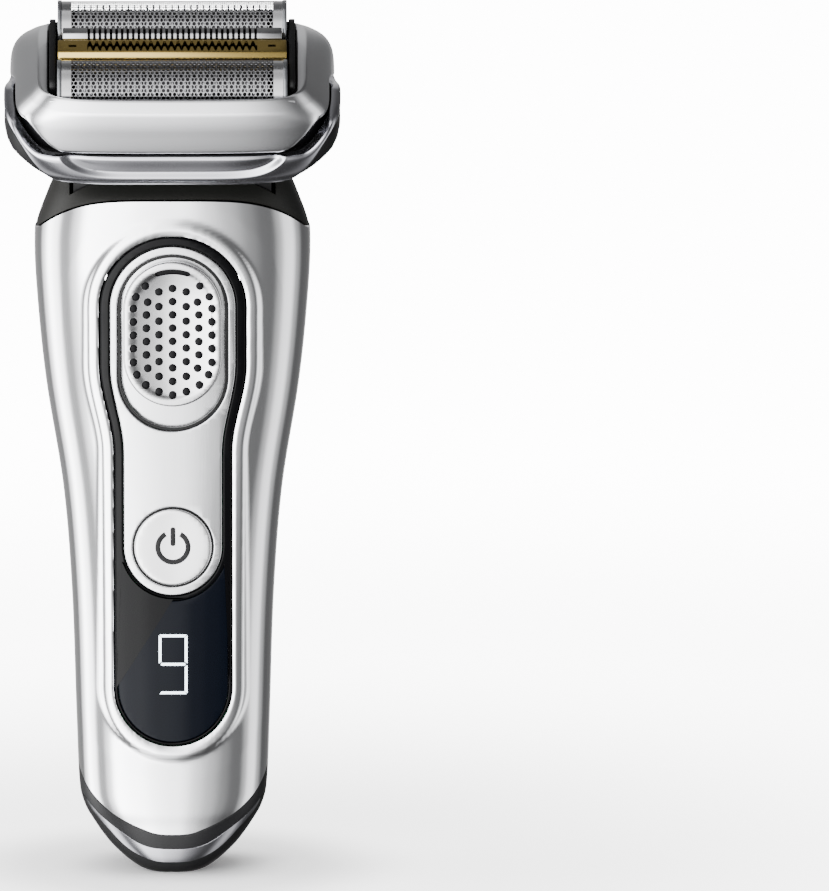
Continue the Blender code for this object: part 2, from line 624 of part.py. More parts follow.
def build_head(head):
    """Bowl, ring, deck, motor and release buttons, in the head's own leaning frame."""
    bowl = plan_loft("head_bowl", FLANGE, look=CHARCOAL, parent=head)
    ends = (-BOWL_HALF, 0.0, 0.0), (BOWL_HALF, 0.0, 0.0)
    combine(bowl, rod("bowl_drum", BOWL_RADIUS, *ends, parent=head, segments=36), "UNION")
    ends = (-BOWL_INSIDE, 0.0, 0.0), (BOWL_INSIDE, 0.0, 0.0)
    combine(bowl, rod("drum_hollow", BOWL_RADIUS - BOWL_WALL, *ends, parent=head, segments=28))
    combine(bowl, plan_loft("flange_hollow", ((9.3, 24.4, 15.2), (14.5, 25.8, 16.4)), parent=head))
    combine(bowl, block("drum_mouth", (-BOWL_INSIDE, -6.2, 3.0), (BOWL_INSIDE, 6.2, 10.0), parent=head))
    for side, x in (("left", -1.0), ("right", 1.0)):
        low, high = sorted((x * 26.9, x * 34.0))
        combine(bowl, block("button_bay_" + side, (low, -9.0, 3.0), (high, 9.0, 15.0), parent=head))
        bore = (x * 16.0, 0.0, 0.0), (x * 20.0, 0.0, 0.0)
        combine(bowl, rod("bowl_bore_" + side, PIVOT_BORE, *bore, parent=head))
    for angle in NOTCH_ANGLES:
        turn = math.radians(angle - HEAD_LEAN + NOTCH_TURN)
        low, high = (-1.9, -0.6, -0.6 - BOWL_RADIUS), (1.9, 0.6, 1.0 - BOWL_RADIUS)
        notch = block("notch_%d" % (angle + 90), low, high, parent=head)
        notch.matrix_parent_inverse = Matrix.Rotation(turn, 4, "X")
        combine(bowl, notch)

    ring = plan_loft("head_ring", RING_OUT, look=SILVER, parent=head)
    hollow = ((6.0, 27.4, 16.6), *RING_OUT[1:], (21.5, 31.9, 19.6))
    combine(ring, plan_loft("ring_hollow", hollow, RING_WALL, parent=head))
    outline = band_outline(ring_low, ring_high)
    combine(ring, plate("ring_edges", [outline], -30.0, 30.0, parent=head), "INTERSECT")

    deck = plan_loft("head_deck", ((11.8, 24.5, 15.2), (13.0, 24.8, 15.4)), look=BLACK, parent=head)
    for name, low, high in (("front", -11.4, -7.8), ("middle", -2.6, -0.2), ("rear", 7.8, 11.4)):
        combine(deck, block("deck_slot_" + name, (-3.0, low, 11.0), (3.0, high, 14.0), parent=head))

    block("stator_core", (-10.0, -4.8, -5.6), (10.0, 4.8, -1.2), STEEL, head)
    coil = block("motor_coil", (-7.0, -4.6, -0.9), (7.0, 4.6, 2.6), COPPER, head, edge=0.8)
    combine(coil, block("coil_window", (-4.0, -1.4, -3.0), (4.0, 1.4, 4.0), parent=head))
    for name, side in (("front", -1.0), ("rear", 1.0)):
        near, far = sorted((side * 0.5, side * 5.4))
        armature = block("armature_" + name, (-11.0, near, 3.0), (11.0, far, 5.0), STEEL, head)
        near, far = sorted((side * 2.8, side * 5.4))
        combine(armature, block("riser_" + name, (-4.0, near, 4.5), (4.0, far, 10.8), parent=head), "UNION")
        inner = -0.4 if side < 0 else 2.8
        near, far = sorted((side * 11.0, inner))
        combine(armature, block("arm_" + name, (-2.6, near, 9.6), (2.6, far, 10.8), parent=head), "UNION")
        pin_y = side * PIN_OFFSET
        rod("drive_pin_" + name, PIN_RADIUS, (0.0, pin_y, 11.1), (0.0, pin_y, 19.2), STEEL, head, 16)
    rod("drive_pin_middle", 0.8, (0.0, MIDDLE_PIN, 11.1), (0.0, MIDDLE_PIN, 19.2), STEEL, head, 16)

    for side, x in (("left", -1.0), ("right", 1.0)):
        pad = [(27.4, 4.0), (29.2, 5.2), (30.9, 7.4), (31.8, 9.6), (32.1, 11.3), (30.0, 11.4)]
        latch = [(30.0, 13.6), (28.3, 13.6), (28.3, 8.6)]
        outline = [(x * across, up) for across, up in pad + latch]
        button = plate("release_button_" + side, [outline], -8.5, 8.5, CHARCOAL, head)
        bevel = button.modifiers.new("edge", "BEVEL")
        bevel.width = 0.5 * MM
        bevel.segments = 2


def half_round(radius, base, steps=12):
    """An arch outline over y and z, down to a flat base."""
    return [(-radius, base), (radius, base)] + arc((0.0, FOIL_CENTRE), radius, 0.0, 180.0, steps)


def build_cassette(head):
    """Frame, base, foil carrier, foils, trimmers and cutters."""
    frame = plan_loft("cassette_frame", FRAME_OUT, look=SILVER, parent=head, power=FRAME_POWER)
    combine(frame, plan_loft("frame_hollow", FRAME_IN, parent=head, power=FRAME_POWER))
    opening = ((22.0, OPENING_HALF, OPENING_DEPTH), (27.0, OPENING_HALF, OPENING_DEPTH))
    combine(frame, plan_loft("frame_opening", opening, parent=head, power=OPENING_POWER))
    outline = band_outline(frame_low, lambda _x: 40.0)
    combine(frame, plate("frame_edge", [outline], -30.0, 30.0, parent=head), "INTERSECT")

    base = plan_loft("cassette_base", ((14.3, 29.0, 17.5), (19.2, 29.0, 17.4)), look=BLACK, parent=head)
    combine(base, plan_loft("base_hollow", ((14.0, 26.6, 16.1), (20.0, 26.6, 16.1)), parent=head))

    carrier = plan_loft("foil_carrier", ((15.6, 25.8, 15.6), (16.8, 25.8, 15.6)), look=BLACK, parent=head)
    combine(carrier, block("carrier_window", (-20.3, -13.4, 15.0), (20.3, 13.4, 18.0), parent=head))
    for side, x in (("left", -1.0), ("right", 1.0)):
        low, high = sorted((x * 22.2, x * 23.4))
        wall = [(-12.6, 16.0), (12.6, 16.0), (12.6, 25.4), (11.0, 27.0), (-11.0, 27.0), (-12.6, 25.4)]
        combine(carrier, plate("carrier_end_" + side, [wall], low, high, parent=head, along="X"), "UNION")

    for name, side in (("front", -1.0), ("rear", 1.0)):
        offset = side * FOIL_OFFSET
        arch = half_round(FOIL_RADIUS, FOIL_BASE)
        foil = plate(name + "_foil", [arch], -FOIL_HALF, FOIL_HALF, STEEL, head, "X")
        hollow = plate(
            name + "_foil_hollow",
            [half_round(FOIL_RADIUS - FOIL_WALL, FOIL_BASE - 1.0)],
            1.2 - FOIL_HALF,
            FOIL_HALF - 1.2,
            parent=head,
            along="X",
        )
        combine(foil, hollow)
        foil.location.y = hollow.location.y = offset * MM
        cutter = plate(
            "cutter_" + name, [half_round(FOIL_RADIUS - FOIL_WALL - 0.3, 21.4)],
            -MESH_HALF + STROKE_ROOM, MESH_HALF - STROKE_ROOM, STEEL, head, "X",
        )
        cutter.location.y = offset * MM
        for k in range(13):
            x = -16.2 + 2.7 * k
            low, high = (x - 0.8, offset - 7.0, 23.0), (x + 0.8, offset + 7.0, 31.0)
            combine(cutter, block("groove_%s_%d" % (name, k), low, high, parent=head))
        low, high = (-9.0, offset - 2.6, 17.6), (9.0, offset + 2.6, 22.0)
        combine(cutter, block("bridge_" + name, low, high, parent=head), "UNION")
        low, high = (0.0, side * PIN_OFFSET, 17.0), (0.0, side * PIN_OFFSET, 21.5)
        combine(cutter, rod("socket_" + name, PIN_RADIUS + GAP, low, high, parent=head, segments=16))

    build_middle(head)


def build_middle(head):
    """Gold comb, slotted guard and the blade that moves under the comb."""
    comb_outline = [(-4.2, 19.0), (1.4, 19.0), (1.4, 27.1), (0.6, 28.0), (-3.4, 28.0), (-4.2, 27.1)]
    comb_inside = [(-3.8, 18.0), (1.0, 18.0), (1.0, 27.0), (0.5, 27.6), (-3.3, 27.6), (-3.8, 27.0)]
    guard_outline = [(1.8, 19.0), (4.4, 19.0), (4.4, 25.4), (5.1, 27.3)]
    guard_outline += [(4.5, 28.3), (2.5, 28.3), (1.8, 27.5)]
    guard_inside = [(2.2, 18.0), (4.0, 18.0), (4.0, 25.5), (4.6, 27.2)]
    guard_inside += [(4.2, 27.9), (2.6, 27.9), (2.2, 27.3)]
    for name, outline, inside, look in (
        ("trimmer_comb", comb_outline, comb_inside, GOLD),
        ("skin_guard", guard_outline, guard_inside, STEEL),
    ):
        comb = plate(name, [outline], -FOIL_HALF, FOIL_HALF, look, head, "X")
        half = FOIL_HALF - 1.0
        combine(comb, plate(name + "_hollow", [inside], -half, half, parent=head, along="X"))
        low, high = outline[0][0] + 1.0, outline[1][0] - 0.8
        for k in range(23):
            x = -15.4 + 1.4 * k
            near, far = (x - 0.35, low, 26.0), (x + 0.35, high, 30.0)
            combine(comb, block("%s_slot_%d" % (name, k), near, far, parent=head))
    blade = block("trimmer_cutter", (-19.0, -3.3, 20.4), (19.0, 0.5, 27.1), STEEL, head)
    for k in range(13):
        x = -15.6 + 2.6 * k
        near, far = (x - 0.7, -4.5, 23.4), (x + 0.7, 1.5, 28.0)
        combine(blade, block("blade_gap_%d" % k, near, far, parent=head))
    combine(blade, block("blade_bridge", (-6.0, -3.1, 17.6), (6.0, 0.3, 21.0), parent=head), "UNION")
    low, high = (0.0, MIDDLE_PIN, 17.0), (0.0, MIDDLE_PIN, 21.5)
    combine(blade, rod("blade_socket", 0.8 + GAP, low, high, parent=head, segments=16))


def build_trimmer():
    """Long-hair trimmer in the bay at the back."""
    rows = []
    for j in range(7):
        z = 92.4 + 30.6 * j / 6.0
        rows.append([(12.6 * (1.0 - k / 4.0), back_y(12.6 * (1.0 - k / 4.0), z), z) for k in range(9)])
    carriage = skin("trimmer_carriage", rows, 3.0, CHARCOAL)
    combine(carriage, block("thumb_ledge", (-8.0, 12.0, 96.0), (8.0, 16.9, 98.0)), "UNION")
    comb = block("trimmer_comb_plate", (-12.0, 12.0, 123.4), (12.0, 12.8, 131.0), STEEL)
    blade = block("trimmer_blade", (-10.8, 13.2, 123.4), (10.8, 13.9, 130.2), STEEL)
    for k in range(15):
        x = -9.8 + 1.4 * k
        combine(comb, block("comb_gap_%d" % k, (x - 0.35, 11.0, 128.4), (x + 0.35, 14.0, 132.0)))
        combine(blade, block("tooth_gap_%d" % k, (x - 0.4, 12.8, 128.0), (x + 0.4, 15.0, 132.0)))


build_shells()
build_bottom()
build_inlay()
build_inside()
build_collar()
build_lock()
HEAD = bpy.data.objects.new("head_frame", None)
HEAD.location = (0.0, PIVOT_Y * MM, PIVOT_Z * MM)
HEAD.rotation_euler = (math.radians(HEAD_LEAN), 0.0, 0.0)
SHAVER.objects.link(HEAD)
build_head(HEAD)
build_cassette(HEAD)
build_trimmer()
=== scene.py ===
"""Looks of the foil shaver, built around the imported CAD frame.

Lengths below are millimetres, and MM turns them into metres. The front faces -Y and +Z is up. Head
pieces are made in the head's own leaning frame: across, forward to back, and up from the pivot.
"""

import contextlib
import json
import math

import bmesh
import bpy
import numpy as np
from mathutils import Matrix, Vector


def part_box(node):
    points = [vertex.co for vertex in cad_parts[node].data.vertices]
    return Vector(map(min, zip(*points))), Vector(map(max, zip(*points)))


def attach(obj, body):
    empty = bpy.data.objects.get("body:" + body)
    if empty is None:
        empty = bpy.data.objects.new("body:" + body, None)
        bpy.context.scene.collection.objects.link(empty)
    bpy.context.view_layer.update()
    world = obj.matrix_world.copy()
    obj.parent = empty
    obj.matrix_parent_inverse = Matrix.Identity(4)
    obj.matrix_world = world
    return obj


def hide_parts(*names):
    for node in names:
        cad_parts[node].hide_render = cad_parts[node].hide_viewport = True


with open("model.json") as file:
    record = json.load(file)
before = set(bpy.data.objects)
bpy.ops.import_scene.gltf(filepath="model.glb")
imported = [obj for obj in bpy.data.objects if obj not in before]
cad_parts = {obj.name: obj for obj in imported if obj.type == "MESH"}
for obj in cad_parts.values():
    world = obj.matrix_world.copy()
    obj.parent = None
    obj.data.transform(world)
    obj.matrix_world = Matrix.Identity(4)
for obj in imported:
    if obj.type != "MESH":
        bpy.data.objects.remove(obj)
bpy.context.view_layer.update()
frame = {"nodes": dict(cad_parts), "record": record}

MM = 0.001
GAP = 0.3


def cad(node):
    """A CAD node's corners in millimetres."""
    low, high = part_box(node)
    return low / MM, high / MM


# Inlay sizes, read from the frame.
TRIM_LOW, TRIM_HIGH = cad("panel_trim")
PANEL_LOW, PANEL_HIGH = cad("control_panel")
TRACK_LOW, TRACK_HIGH = cad("slider_track")
BUTTON_LOW, BUTTON_HIGH = cad("power_button")
PAD_CORNER, PAD_FAR = cad("lock_slider")
TRIM_HALF = TRIM_HIGH.x
TRIM_LOW_HALF = 0.8 * TRIM_HALF
TRIM_TOP = TRIM_HIGH.z
TRIM_BOTTOM = TRIM_LOW.z
WAIST_TOP = TRIM_TOP - 25.0
WAIST_LOW = TRIM_TOP - 42.1
BUTTON_Z = (BUTTON_LOW.z + BUTTON_HIGH.z) / 2
BUTTON_RADIUS = (BUTTON_HIGH.x - BUTTON_LOW.x) / 2
PANEL_HALF = PANEL_HIGH.x
PANEL_LOW_HALF = BUTTON_Z - PANEL_LOW.z
PANEL_TOP = PANEL_HIGH.z
RECESS_HALF = TRACK_HIGH.x + GAP
RECESS_TOP = TRACK_HIGH.z
RECESS_BOTTOM = TRACK_LOW.z
PAD_HALF = PAD_FAR.x
PAD_BOTTOM = PAD_CORNER.z
PAD_TOP = RECESS_TOP - 1.4
# The dark slot near the slider's top: its crest, the height its depth is taken at, the radius it
# bends along, and degrees each way.
SLOT_TOP = PAD_TOP - 1.9
SLOT_LEVEL = 115.0
SLOT_RADIUS = 9.8
SLOT_REACH = 17.0

# Handle outline: height, half width, depth to the front, depth to the back.
HANDLE = (
    (0.0, 6.0, 8.6, 8.8), (1.0, 7.6, 9.6, 9.8), (2.6, 9.7, 10.5, 10.9),
    (4.8, 12.0, 11.1, 11.7), (6.9, 13.7, 11.4, 12.2), (9.4, 15.4, 11.6, 12.5),
    (12.0, 16.9, 11.9, 12.9), (15.6, 17.9, 12.0, 13.2), (28.0, 18.5, 12.2, 13.8),
    (54.0, 19.4, 12.5, 14.5), (74.0, 21.0, 12.8, 15.0), (95.0, 24.3, 13.8, 15.8),
    (112.0, 26.0, 14.8, 16.8), (123.0, 26.4, 15.5, 17.4), (132.0, 25.5, 15.9, 17.6),
)
COLLAR = (
    (122.0, 26.4, 15.5, 17.4), (125.5, 25.9, 15.6, 17.4), (131.0, 23.9, 15.4, 17.0),
    (135.2, 22.3, 12.9, 15.4), (141.0, 21.8, 11.0, 12.4),
)
FRONT_POWER = 2.7
BACK_POWER = 2.4
# Seams of the lower end as y and z: shell to band, band to trim, trim to foot.
SEAM = (
    (-12.5, 5.6), (-11.5, 7.8), (-11.2, 9.0), (-10.3, 11.3),
    (-8.0, 15.2), (-4.2, 19.3), (0.7, 22.7), (6.0, 24.7),
)
BAND_LOW = ((-12.0, 4.8), (-11.2, 5.0), (-10.7, 5.8), (-9.7, 8.3), (-7.4, 12.2), (-5.8, 14.0), (-3.2, 15.0))
TRIM_EDGE = (
    (-11.0, 2.1), (-10.35, 2.3), (-9.9, 3.2), (-9.3, 4.5),
    (-8.8, 6.0), (-8.1, 8.4), (-6.9, 11.0), (-5.8, 13.1),
)
TOP_CENTRE = 131.3
# How far the shells' edges turn past, and stop short of, the handle's sides, in radians.
FRONT_TURN = 0.0274
REAR_TURN = 0.030
FRONT_WALL = 1.6
REAR_WALL = 1.4
# The front shell's bezel: distance from the inlay's edge, and how far it stands proud.
BEZEL_REACH = (0.0, 0.3, 0.6, 1.6, 2.1, 2.4, 2.75, 3.2, 4.2, 7.0)
BEZEL_RISE = (0.16, 0.36, 0.46, 0.52, 0.44, 0.22, 0.02, -0.06, -0.05, 0.0)
# Grip dots on the rear shell.
GRIP_PITCH = 2.1
GRIP_ROW = 0.866 * GRIP_PITCH
GRIP_RISE = 0.28
GRIP_RADIUS = 0.72
# Ribs on the long-hair trimmer's thumb pad, and the teeth of its comb and blade.
RIB_PITCH = 1.875
HAIR_TEETH = 25
# The lock slider stands this far proud, and carries these dots.
PAD_OUTSET = 0.62
DOT_ROW = 2.59
DOT_RADIUS = 0.80
# The lit digit's foot and top.
DIGIT_SPAN = (35.4, 47.0)

# Head: pivot, lean and plan outlines, each as height, half width and half depth.
PIVOT_Y = -2.0
PIVOT_Z = 136.5
LEAN = math.radians(25.0)
HEAD = Matrix.Translation((0, PIVOT_Y * MM, PIVOT_Z * MM)) @ Matrix.Rotation(LEAN, 4, "X")
# Half width and half depth of the outlines that the ring's and the frame's edges follow.
RING_PLAN = (32.0, 20.0)
FRAME_PLAN = (31.0, 19.4)
HEAD_POWER = 4.4
FRAME_POWER = 6.5
OPENING_POWER = 14.0
OPENING_HALF = 23.7
OPENING_DEPTH = 16.4
RING_OUT = (
    (6.9, 28.6, 17.8), (8.4, 30.6, 19.2), (11.0, 31.9, 19.9), (15.0, 32.4, 20.0),
    (20.5, 31.9, 19.6),
)
# The cassette's dark base: its foot, then share of the height, half width, half depth and flange.
BASE_LOW = 14.3
BASE_SKIN = (
    (0.0, 28.8, 17.3, 1.0), (0.12, 29.2, 17.7, 1.2), (0.4, 29.35, 17.85, 1.2), (0.48, 29.35, 17.85, 0.0),
    (1.0, 29.3, 17.8, 0.0), (1.0, 26.8, 16.2, 0.0), (0.0, 26.8, 16.2, 0.0),
)
# Where the frame's front face ends and its shoulder starts.
SHOULDER = 20.9
FRAME_SKIN = (
    (14.5, 31.0, 19.4), (17.0, 31.0, 19.4), (19.0, 30.85, 19.35), (20.6, 30.4, 19.3),
    (21.6, 29.9, 19.22),
)
# Above the shoulder: chamfer and rim.
FRAME_RIM = (
    (21.6, 29.9, 19.22), (22.4, 29.3, 19.12), (23.2, 28.5, 18.98), (23.85, 27.8, 18.84),
    (24.02, 27.6, 18.76), (24.15, 27.45, 18.66), (24.9, 26.6, 17.98), (25.55, 25.9, 17.38),
    (25.72, 25.65, 17.18), (25.78, 25.4, 17.0),
)
FOIL_OFFSET = 10.2
FOIL_RADIUS = 5.3
FOIL_CENTRE = 24.2
FOIL_BASE = 21.1
FOIL_HALF = 21.8
MESH_HALF = 19.6
# Honeycomb: pitch, the share of a half turn that it wraps, and the open share of each cell.
FOIL_PITCH = 0.82
FOIL_WRAP = 0.94
FOIL_HOLE = 0.86
# Half length of each release button, front to back.
RELEASE_HALF = 8.5
# The gold comb's teeth, the guard's slits and each cutter's blades.
TEETH = 25
TEETH_HALF = 16.2
SLITS = 31
SLIT_PITCH = 1.06
BLADES = 31
BLADES_HALF = 17.9


# --- shape rules
def clamped(value):
    return min(max(value, 0.0), 1.0)


def spaced(low, high, count):
    """Evenly spaced numbers from low to high, both included."""
    return [low + (high - low) * k / count for k in range(count + 1)]


def eased(value):
    value = clamped(value)
    return value * value * (3.0 - 2.0 * value)


def between(stations, height):
    """The stations' sizes at a height, on a smooth curve through them."""
    last = len(stations) - 1
    k = 0
    while k < last - 1 and height > stations[k + 1][0]:
        k += 1
    low, high = stations[k], stations[k + 1]
    before, after = stations[max(k - 1, 0)], stations[min(k + 2, last)]
    span = high[0] - low[0]
    t = clamped((height - low[0]) / span)
    sizes = []
    for a, b, c, d in zip(before[1:], low[1:], high[1:], after[1:]):
        slope_low = (c - a) / (high[0] - before[0]) * span
        slope_high = (d - b) / (after[0] - low[0]) * span
        sizes.append(
            (2 * t**3 - 3 * t**2 + 1) * b
            + (t**3 - 2 * t**2 + t) * slope_low
            + (3 * t**2 - 2 * t**3) * c
            + (t**3 - t**2) * slope_high
        )
    return sizes


def rounded(value, power):
    """A cosine or sine turned into a superellipse's coordinate."""
    return math.copysign(abs(value) ** (2.0 / power), value)


def body_point(stations, angle, height, inset=0.0):
    """A point on the handle's outside, or inset from it. The angle runs from +X towards +Y."""
    half, front, back = between(stations, height)
    depth, power = (back, BACK_POWER) if math.sin(angle) > 0 else (front, FRONT_POWER)
    across = (half - inset) * rounded(math.cos(angle), power)
    return Vector((across, (depth - inset) * rounded(math.sin(angle), power), height))


def front_y(x, z):
    """The handle's front surface."""
    half, front, _ = between(HANDLE, z)
    return -front * (1.0 - min(abs(x) / half, 1.0) ** FRONT_POWER) ** (1.0 / FRONT_POWER)


def back_y(x, z):
    """The handle's back surface."""
    half, _, back = between(HANDLE, z)
    return back * (1.0 - min(abs(x) / half, 1.0) ** BACK_POWER) ** (1.0 / BACK_POWER)


def top_edge(x, _y):
    return TOP_CENTRE - 6.6 * (abs(x) / 25.8) ** 4.0


def seam_edge(_x, y):
    """The front shell's lower edge, which climbs quickly towards the sides."""
    return between(SEAM, min(max(y, -12.5), 6.0))[0]


def edge_height(stations, angle, rule, start):
    """The height where the body's outside meets an edge rule of x and y."""
    height = start
    for _ in range(14):
        point = body_point(stations, angle, height)
        height = 0.5 * (height + rule(point.x, point.y))
    return height


def forward(along):
    """1 over the head's front half, easing to 0 behind it."""
    return 1.0 - eased((along + 3.0) / 13.0)


def frame_low(x, along):
    """The cassette frame's lower edge, which rises at the front corners."""
    return 15.1 + 5.8 * eased((abs(x) - 20.8) / 8.6) * forward(along)


def ring_high(x, along):
    return 14.2 + 4.6 * eased((abs(x) - 24.6) / 8.0) * forward(along)


def ring_low(x, _along):
    return 7.0 + 5.4 * eased((abs(x) - 21.0) / 11.5)


def ring_lip(x, along):
    """The silver ring's lower edge, which climbs at the sides so that the ring tapers."""
    return ring_low(x, along) + 5.2 * eased((abs(x) - 22.5) / 8.6) * forward(along)


def cheek_high(x, along):
    return ring_lip(x, along) + 0.6


# --- outlines
def arc(centre, radius, start, end, steps):
    """Points on an arc, angles in degrees from +X."""
    turns = [math.radians(turn) for turn in spaced(start, end, steps)]
    return [(centre[0] + radius * math.cos(t), centre[1] + radius * math.sin(t)) for t in turns]


def circle(centre, radius, steps=48):
    return arc(centre, radius, 0.0, 360.0 * (steps - 1) / steps, steps - 1)


def stadium(half, low, high, steps=36):
    """An upright outline with round ends."""
    top = arc((0.0, high - half), half, 0.0, 180.0, steps)
    return top + arc((0.0, low + half), half, 180.0, 360.0, steps)


def rounded_box(half, low, high, corner, steps=8):
    """An outline with round corners."""
    found = []
    for k, (side, level) in enumerate(((1, high), (-1, high), (-1, low), (1, low))):
        centre = (side * (half - corner), level - corner if level == high else level + corner)
        found += arc(centre, corner, 90.0 * k, 90.0 * (k + 1), steps)
    return found


def waisted(half, low_half, top, low, grow=0.0):
    """The inlay outline: a round head, a waist below it and a round lower end."""
    right = arc((0.0, low + low_half), low_half + grow, -90.0, 0.0, 20)
    for k in range(13):
        share = k / 12.0
        z = WAIST_LOW + (WAIST_TOP - WAIST_LOW) * share
        right.append((low_half + (half - low_half) * eased(share) + grow, z))
    right += arc((0.0, top - half), half + grow, 0.0, 90.0, 24)
    left = [(-x, z) for x, z in reversed(right)]
    return right + left[1:-1]


def pane(half, rim_radius):
    """The display window: an arc round the button above, a round lower end."""
    turn = math.degrees(math.acos(0.93))
    rim = arc((0.0, BUTTON_Z), rim_radius, 180.0 + turn, 360.0 - turn, 30)
    low = arc((0.0, TRIM_BOTTOM + TRIM_LOW_HALF), half, 360.0, 180.0, 30)
    return rim + [(half, BUTTON_Z - 7.0)] + low + [(-half, BUTTON_Z - 7.0)]


def distance_to(outline, points):
    """Signed distance of x, z points to a closed outline, positive outside."""
    start = np.array(outline, float)
    end = np.roll(start, -1, axis=0)
    points = np.asarray(points, float)
    run = end - start
    length = (run**2).sum(1)
    length[length == 0] = 1.0
    away = points[:, None, :] - start[None]
    share = np.clip((away * run[None]).sum(2) / length[None], 0.0, 1.0)
    gap = away - share[:, :, None] * run[None]
    nearest = np.sqrt((gap**2).sum(2)).min(1)
    x, z = points[:, 0][:, None], points[:, 1][:, None]
    crosses = (start[None, :, 1] > z) != (end[None, :, 1] > z)
    rise = np.where(run[:, 1] == 0, 1.0, run[:, 1])
    at = start[None, :, 0] + (z - start[None, :, 1]) / rise[None] * run[None, :, 0]
    inside = (crosses & (x < at)).sum(1) % 2 == 1
    return np.where(inside, -nearest, nearest)


# --- materials
def connect(tree, socket, value):
    """Sets a socket, or links it when the value is a socket too."""
    if isinstance(value, bpy.types.NodeSocket):
        tree.links.new(value, socket)
    else:
        socket.default_value = value


def feed(tree, node, **values):
    """Connects a node's inputs by name."""
    for name, value in values.items():
        connect(tree, node.inputs[name.replace("_", " ")], value)
    return node


def add_node(tree, kind, **values):
    return feed(tree, tree.nodes.new("ShaderNode" + kind), **values)


def calc(tree, operation, *values):
    """The result of a math node on sockets and numbers."""
    node = add_node(tree, "Math")
    node.operation = operation
    for socket, value in zip(node.inputs, values):
        connect(tree, socket, value)
    return node.outputs["Value"]


def material(name, colour, roughness, metallic=0.0, grain=0.0, scale=400.0, stretch=(1, 1, 1),
             bump=0.0, vary=0.06, dents=0.0, dent_scale=900.0, glow=0.0, specular=0.5):
    """A finish with fine grain: colour and roughness vary with noise, and bump follows it.

    grain changes the roughness, vary the colour, stretch turns grain into brushing, and dents add
    moulded pits.
    """
    look = bpy.data.materials.new(name)
    look.use_nodes = True
    tree = look.node_tree
    shader = feed(tree, tree.nodes["Principled BSDF"], Metallic=metallic, Specular_IOR_Level=specular)
    if glow:
        feed(tree, shader, Emission_Color=(*colour, 1.0), Emission_Strength=glow)
    place = add_node(tree, "TexCoord").outputs["Object"]
    turned = add_node(tree, "Mapping", Vector=place, Scale=stretch).outputs["Vector"]
    fine = add_node(tree, "TexNoise", Vector=turned, Scale=scale, Detail=6.0, Roughness=0.6)
    broad = add_node(tree, "TexNoise", Vector=place, Scale=45.0, Detail=3.0)
    half = calc(tree, "MULTIPLY", broad.outputs["Fac"], 0.5)
    mixed = calc(tree, "MULTIPLY_ADD", fine.outputs["Fac"], 0.5, half)
    tint = add_node(tree, "Mix")
    tint.data_type = "RGBA"
    dark = (*[c * (1.0 - vary) for c in colour], 1.0)
    pale = (*[min(c * (1.0 + vary), 1.0) for c in colour], 1.0)
    feed(tree, tint, A=dark, B=pale, Factor=mixed)
    low = max(roughness - grain, 0.02)
    spread = add_node(tree, "MapRange", Value=mixed, To_Min=low, To_Max=roughness + grain)
    feed(tree, shader, Base_Color=tint.outputs["Result"], Roughness=spread.outputs["Result"])
    height = fine.outputs["Fac"]
    if dents:
        cells = add_node(tree, "TexVoronoi", Vector=place, Scale=dent_scale)
        height = calc(tree, "MULTIPLY_ADD", cells.outputs["Distance"], dents, height)
    if bump:
        raised = add_node(tree, "Bump", Strength=bump, Distance=0.0001, Height=height)
        feed(tree, shader, Normal=raised.outputs["Normal"])
    return look


def metal(name, colour, roughness, grain, scale, stretch, bump, vary):
    return material(name, colour, roughness, 1.0, grain, scale, stretch, bump, vary)


def moulded(name, colour, roughness, grain, scale, bump, vary, dents, dent_scale, specular=0.22):
    """A matt moulded plastic or rubber."""
    return material(name, colour, roughness, 0.0, grain, scale, bump=bump, vary=vary, dents=dents,
                    dent_scale=dent_scale, specular=specular)


def gloss(name, colour, roughness, vary, specular):
    return material(name, colour, roughness, 0.0, 0.02, 300, vary=vary, specular=specular)


